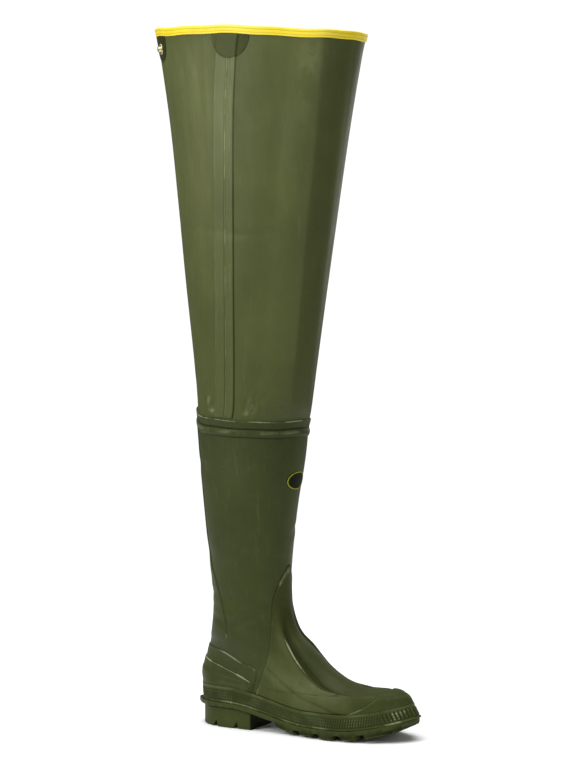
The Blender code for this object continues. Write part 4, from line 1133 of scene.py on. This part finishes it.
# Painted shade over the whole patch, deeper past the strip's front border, with a painted shadow line along
# that border; a painted shadow line and a faint painted highlight along the patch's edge.
marks = edge_marks(inside, 0.55)
marks["painted_highlight"] *= 0.35
past_strip = (turn - strip_middle(level)) * girth(turn, level) - STRIP_WIDTH / 2
shaded = 0.24 + 0.24 * ease(-0.001, 0.0005, past_strip) + 0.55 * bell(past_strip + 0.0012, 0.0009)
marks["painted_shade"] = np.clip(marks["painted_shade"] + shaded * ease(0, 0.001, inside), 0, 1)
lift = patch_lift(turn, level, inside, PATCH_THICKNESS)
patch = rubber_sheet(
    "seam_patch_sheet", patch_turns, patch_levels, lift, SHEET_WALL, thigh_rubber,
    seen=inside > -SHEET_TRIM, marks=marks,
)
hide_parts("seam_patch")
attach(patch, "root")

# Strap tab and snap stud
# A shield of doubled rubber under the collar at the back of the outer side, with a turned brass stud riveted
# through it. The belt strap snaps onto the stud.

TAB_TURN, TAB_WIDTH, TAB_LENGTH, TAB_THICKNESS = 0.094, 0.034, 0.034, 0.0015
TAB_OUTLINE = (
    # x as a share of the width and z of the length, down the front border from the binding to the point
    (0.5, 0.10),
    (0.5, -0.30),
    (0.49, -0.50),
    (0.42, -0.70),
    (0.27, -0.87),
    (0.0, -1.0),
)
STUD_RADIUS, STUD_HEIGHT, STUD_DROP, STUD_FOOT, STUD_SIDES = 0.00725, 0.0045, 0.016, 0.0016, 40
STUD_PROFILE = (
    # radius as a share of the stud's, height as a share of its height
    (0.90, -0.10),
    (0.985, 0.0),
    (1.0, 0.10),
    (0.985, 0.20),
    (0.93, 0.26),
    (0.80, 0.24),
    (0.62, 0.20),
    (0.50, 0.24),
    (0.455, 0.34),
    (0.45, 0.48),
    (0.50, 0.60),
    (0.555, 0.70),
    (0.55, 0.82),
    (0.47, 0.92),
    (0.30, 0.98),
    (0.14, 0.97),
    (0.02, 0.93),
)
tab_turns = np.linspace(TAB_TURN - PATCH_REACH, TAB_TURN + PATCH_REACH, 72)
tab_levels = np.linspace(13.86, 14.73, 64)
turn, level = np.meshgrid(tab_turns, tab_levels)
across, up = beside(turn, level, TAB_TURN)
shield = [*TAB_OUTLINE, *[(-x, z) for x, z in TAB_OUTLINE[-2::-1]]]
inside = inside_outline([(x * TAB_WIDTH, -UNDER_BINDING + z * TAB_LENGTH) for x, z in shield], across, up)
# Painted shade over the whole tab, a painted shadow line along and just inside its edge, and painted shade
# round the stud; a painted highlight along the edge.
marks = edge_marks(inside, 0.6)
marks["painted_shade"] = np.clip(marks["painted_shade"] + 0.2 + 0.6 * bell(inside - 0.0030, 0.0005), 0, 1)
round_stud = np.hypot(across, up + UNDER_BINDING + STUD_DROP)
marks["painted_shade"] = np.maximum(marks["painted_shade"], 1 - ease(STUD_RADIUS, STUD_RADIUS + 0.002, round_stud))
lift = patch_lift(turn, level, inside, TAB_THICKNESS)
tab = rubber_sheet(
    "strap_tab_shield", tab_turns, tab_levels, lift, SHEET_WALL, leg_rubber,
    seen=inside > -SHEET_TRIM, marks=marks,
)
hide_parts("strap_tab")
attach(tab, "root")

brass, tree, shader, place = bare_finish("stud_brass")
tarnish = clouds(tree, place, 500.0, 4.0, 0.6)
brass_tone = blended(tree, spread(tree, tarnish, 0.4, 0.7, 0, 1), paint(238, 226, 186), paint(206, 188, 136))
tree.links.new(brass_tone, shader.inputs["Base Color"])
tree.links.new(spread(tree, tarnish, 0.3, 0.8, 0.22, 0.45), shader.inputs["Roughness"])
shader.inputs["Metallic"].default_value = 1.0
stud_levels = np.linspace(14, 15, 300)
stud_level = np.interp(-UNDER_BINDING - STUD_DROP, beside(TAB_TURN, stud_levels, TAB_TURN)[1], stud_levels)
stud_out = Vector(boot_normal(TAB_TURN, stud_level).tolist())
turn_out = np.array(stud_out.to_track_quat("Z", "Y").to_matrix())
angles = 2 * np.pi * np.arange(STUD_SIDES) / STUD_SIDES
radius, height = np.array(STUD_PROFILE).T[:, :, None] * np.array([STUD_RADIUS, STUD_HEIGHT])[:, None, None]
turned = np.stack(np.broadcast_arrays(np.cos(angles) * radius, np.sin(angles) * radius, height), axis=-1)
stud_points = turned.reshape(-1, 3) @ turn_out.T + stand_off(TAB_TURN, stud_level, STUD_FOOT)
stud_faces = grid_faces(len(STUD_PROFILE), STUD_SIDES, closed=True)
stud = laid_mesh("snap_stud_turned", stud_points, stud_faces, brass)
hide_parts("snap_stud")
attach(stud, "root")

# Shin badge
# A thin oval transfer cured onto the front of the shin: dark, with a yellow rule just inside its rim.

BADGE_TURN, BADGE_Z, BADGE_HALF_WIDTH, BADGE_HALF_HEIGHT = 0.4930, 0.3286, 0.0197, 0.0122
BADGE_REACH, BADGE_THICKNESS, BADGE_SOFT, BADGE_WALL, BADGE_TRIM = 0.068, 0.0008, 0.0006, 0.0006, 0.0010
RULE_IN, RULE_HALF = 0.0010, 0.0004
badge_turns = np.linspace(BADGE_TURN - BADGE_REACH, BADGE_TURN + BADGE_REACH, 90)
badge_levels = np.linspace(9.20, 9.50, 60)
turn, level = np.meshgrid(badge_turns, badge_levels)
across = (turn - BADGE_TURN) * girth((turn + BADGE_TURN) / 2, level)
up = boot_face(turn, level)[..., 2] - BADGE_Z
inside = (1 - np.hypot(across / BADGE_HALF_WIDTH, up / BADGE_HALF_HEIGHT)) * BADGE_HALF_HEIGHT
badge_print, tree, shader, place = bare_finish("badge_print")
crackle = spread(tree, clouds(tree, place, 900.0, 4.0, 0.6), 0.30, 0.45, 0.75, 1.0)
worn_rule = add_node(tree, "Math", {0: marked(tree, "rule"), 1: crackle}, operation="MULTIPLY").outputs[0]
badge_tone = blended(tree, worn_rule, paint(17, 23, 9), paint(168, 168, 38))
tree.links.new(badge_tone, shader.inputs["Base Color"])
shader.inputs["Roughness"].default_value = 0.5
shader.inputs["Specular IOR Level"].default_value = 0.06
lift = feathered(inside, 0.0, BADGE_THICKNESS, BADGE_SOFT)
badge = rubber_sheet(
    "shin_badge_oval", badge_turns, badge_levels, lift, BADGE_WALL, badge_print,
    seen=inside > -BADGE_TRIM, marks={"rule": np.exp(-(((inside - RULE_IN) / RULE_HALF) ** 4))},
)
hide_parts("shin_badge")
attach(badge, "root")

# Collar binding
# Yellow trim tape folded over the thigh's raw top edge and stitched down through two fine lines, which leave
# a groove each along the tape, darkened with painted shade.

BINDING_HEIGHT, BINDING_THICKNESS, STITCH_WIDTH, STITCH_DEPTH = 0.0095, 0.0012, 0.0005, 0.00022
STITCH_LINES = (0.28, 0.74)
tape, tree, shader, place = bare_finish("yellow_tape")
slow = clouds(tree, place, 30.0, 3.0, 0.5)
fine = clouds(tree, place, 1300.0, 2.0, 0.5)
tape_tone = blended(tree, spread(tree, slow, 0.35, 0.65, 0, 1), paint(240, 214, 40), paint(247, 224, 62))
tape_shaded = blended(tree, spread(tree, marked(tree, "painted_shade"), 0, 1, 0, 0.8), tape_tone, paint(196, 166, 26))
tree.links.new(tape_shaded, shader.inputs["Base Color"])
weave = add_node(tree, "Bump", {"Strength": 0.5, "Distance": 0.0001, "Height": fine})
tree.links.new(weave.outputs[0], shader.inputs["Normal"])
shader.inputs["Roughness"].default_value = 0.42
outer_lift = BINDING_THICKNESS + CURE_GAP
inner_lift = -THIGH_WALL - CURE_GAP - BINDING_THICKNESS
middle_lift, half_lift = (outer_lift + inner_lift) / 2, (outer_lift - inner_lift) / 2
# The tape's section from its outer foot over the edge to its inner one, as lift and height above the edge.
tape_section = [(CURE_GAP, -BINDING_HEIGHT)]
tape_section += [(outer_lift, -BINDING_HEIGHT * (1 - share)) for share in np.linspace(0.02, 0.9, 30)]
for angle in np.linspace(0.1, np.pi - 0.1, 14):
    tape_section.append((middle_lift + half_lift * math.cos(angle), 0.0001 + 0.0014 * math.sin(angle)))
tape_section += [(inner_lift, -BINDING_HEIGHT * share) for share in np.linspace(0.1, 0.98, 12)]
tape_section += [(-THIGH_WALL - CURE_GAP, -BINDING_HEIGHT)]
tape_turns = np.arange(300) / 300
top_levels = np.full_like(tape_turns, TOP_LEVEL)
top_edge = boot_face(tape_turns, TOP_LEVEL)
lower = boot_face(tape_turns, TOP_LEVEL - 0.26)
slope = (lower - top_edge) / (top_edge - lower)[:, 2:3]
out = boot_normal(tape_turns, top_levels)
out[:, 2] = 0
out /= np.linalg.norm(out, axis=1, keepdims=True)
wave = 0.0007 * np.sin(10 * np.pi * tape_turns) + 0.0004 * np.sin(26 * np.pi * tape_turns)
tape_points, tape_groove_shade = [], []
for lift, height in tape_section:
    groove = sum(bell(height + BINDING_HEIGHT * share, STITCH_WIDTH) for share in STITCH_LINES) * (lift > 0)
    off = lift + folded(tape_turns, top_levels) - STITCH_DEPTH * groove
    spot = top_edge - slope * min(height, 0.0) + out * off[:, None]
    spot[:, 2] += max(height, 0.0) + wave
    tape_points.append(spot)
    tape_groove_shade.append(np.full(len(tape_turns), min(groove, 1.0)))
tape_points = np.concatenate(tape_points)
# The last row of faces leads back to the first ring, which closes the section.
tape_faces = grid_faces(len(tape_section) + 1, len(tape_turns), closed=True) % len(tape_points)
binding = laid_mesh("collar_binding_tape", tape_points, tape_faces, tape, {"painted_shade": np.array(tape_groove_shade)})
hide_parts("collar_binding")
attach(binding, "root")

# Floor, light and camera
# A plain white floor and sky, a broad soft light overhead, one from the left, weaker ones from the right and
# from behind, and the camera at the photograph's height and angle.

FLOOR_RADIUS, FLOOR_DROP, FLOOR_SIDES = 1.3, 0.0004, 96
round_floor = [2 * math.pi * number / FLOOR_SIDES for number in range(FLOOR_SIDES)]
floor_edge = [(FLOOR_RADIUS * math.cos(at), FLOOR_RADIUS * math.sin(at), -FLOOR_DROP) for at in round_floor]
floor_mesh = bpy.data.meshes.new("floor")
floor_mesh.from_pydata(floor_edge, [], [tuple(range(FLOOR_SIDES))])
floor = bpy.data.objects.new("floor", floor_mesh)
bpy.context.scene.collection.objects.link(floor)
floor_paint = bpy.data.materials.new("floor_paint")
floor_paint.use_nodes = True
shader = floor_paint.node_tree.nodes["Principled BSDF"]
shader.inputs["Base Color"].default_value = (0.94, 0.94, 0.94, 1.0)
shader.inputs["Roughness"].default_value = 0.9
shader.inputs["Specular IOR Level"].default_value = 0.1
floor_mesh.materials.append(floor_paint)

sky = bpy.data.worlds.new("studio")
sky.use_nodes = True
seen = add_node(sky.node_tree, "LightPath", {}).outputs["Is Camera Ray"]
background = sky.node_tree.nodes["Background"].inputs
background["Color"].default_value = (1.0, 1.0, 1.0, 1.0)
sky.node_tree.links.new(spread(sky.node_tree, seen, 0.0, 1.0, 0.18, 1.05), background["Strength"])
bpy.context.scene.world = sky
bpy.context.scene.view_settings.view_transform = "Standard"

LIT_PLACE = (0.05, 0.0, 0.45)
SOFT_BOXES = (
    # name, place, width, height, watts
    ("key", (-1.3, -2.6, 1.9), 1.4, 2.0, 72.0),
    ("fill", (2.5, -1.7, 0.9), 1.4, 1.8, 14.0),
    ("rim", (0.35, 2.4, 1.0), 0.9, 1.4, 6.0),
    ("top", (0.0, 0.0, 3.4), 3.6, 3.6, 166.0),
)
for name, place, width, height, watts in SOFT_BOXES:
    lamp = bpy.data.lights.new(name, "AREA")
    lamp.shape, lamp.size, lamp.size_y, lamp.energy = "RECTANGLE", width, height, watts
    box = bpy.data.objects.new(name, lamp)
    box.location = place
    box.rotation_euler = (Vector(LIT_PLACE) - Vector(place)).to_track_quat("-Z", "Y").to_euler()
    bpy.context.scene.collection.objects.link(box)

CAMERA_PLACE, CAMERA_TURN, CAMERA_DIP, CAMERA_LENS = (1.679, -3.074, 0.698), 27.5, 4.03, 124.73
camera_data = bpy.data.cameras.new("camera")
camera_data.sensor_width, camera_data.lens = 36.0, CAMERA_LENS
camera_data.clip_end = 100.0
camera = bpy.data.objects.new("camera", camera_data)
camera.location = CAMERA_PLACE
camera.rotation_euler = (math.radians(90 - CAMERA_DIP), 0.0, math.radians(CAMERA_TURN))
bpy.context.scene.collection.objects.link(camera)
bpy.context.scene.camera = camera
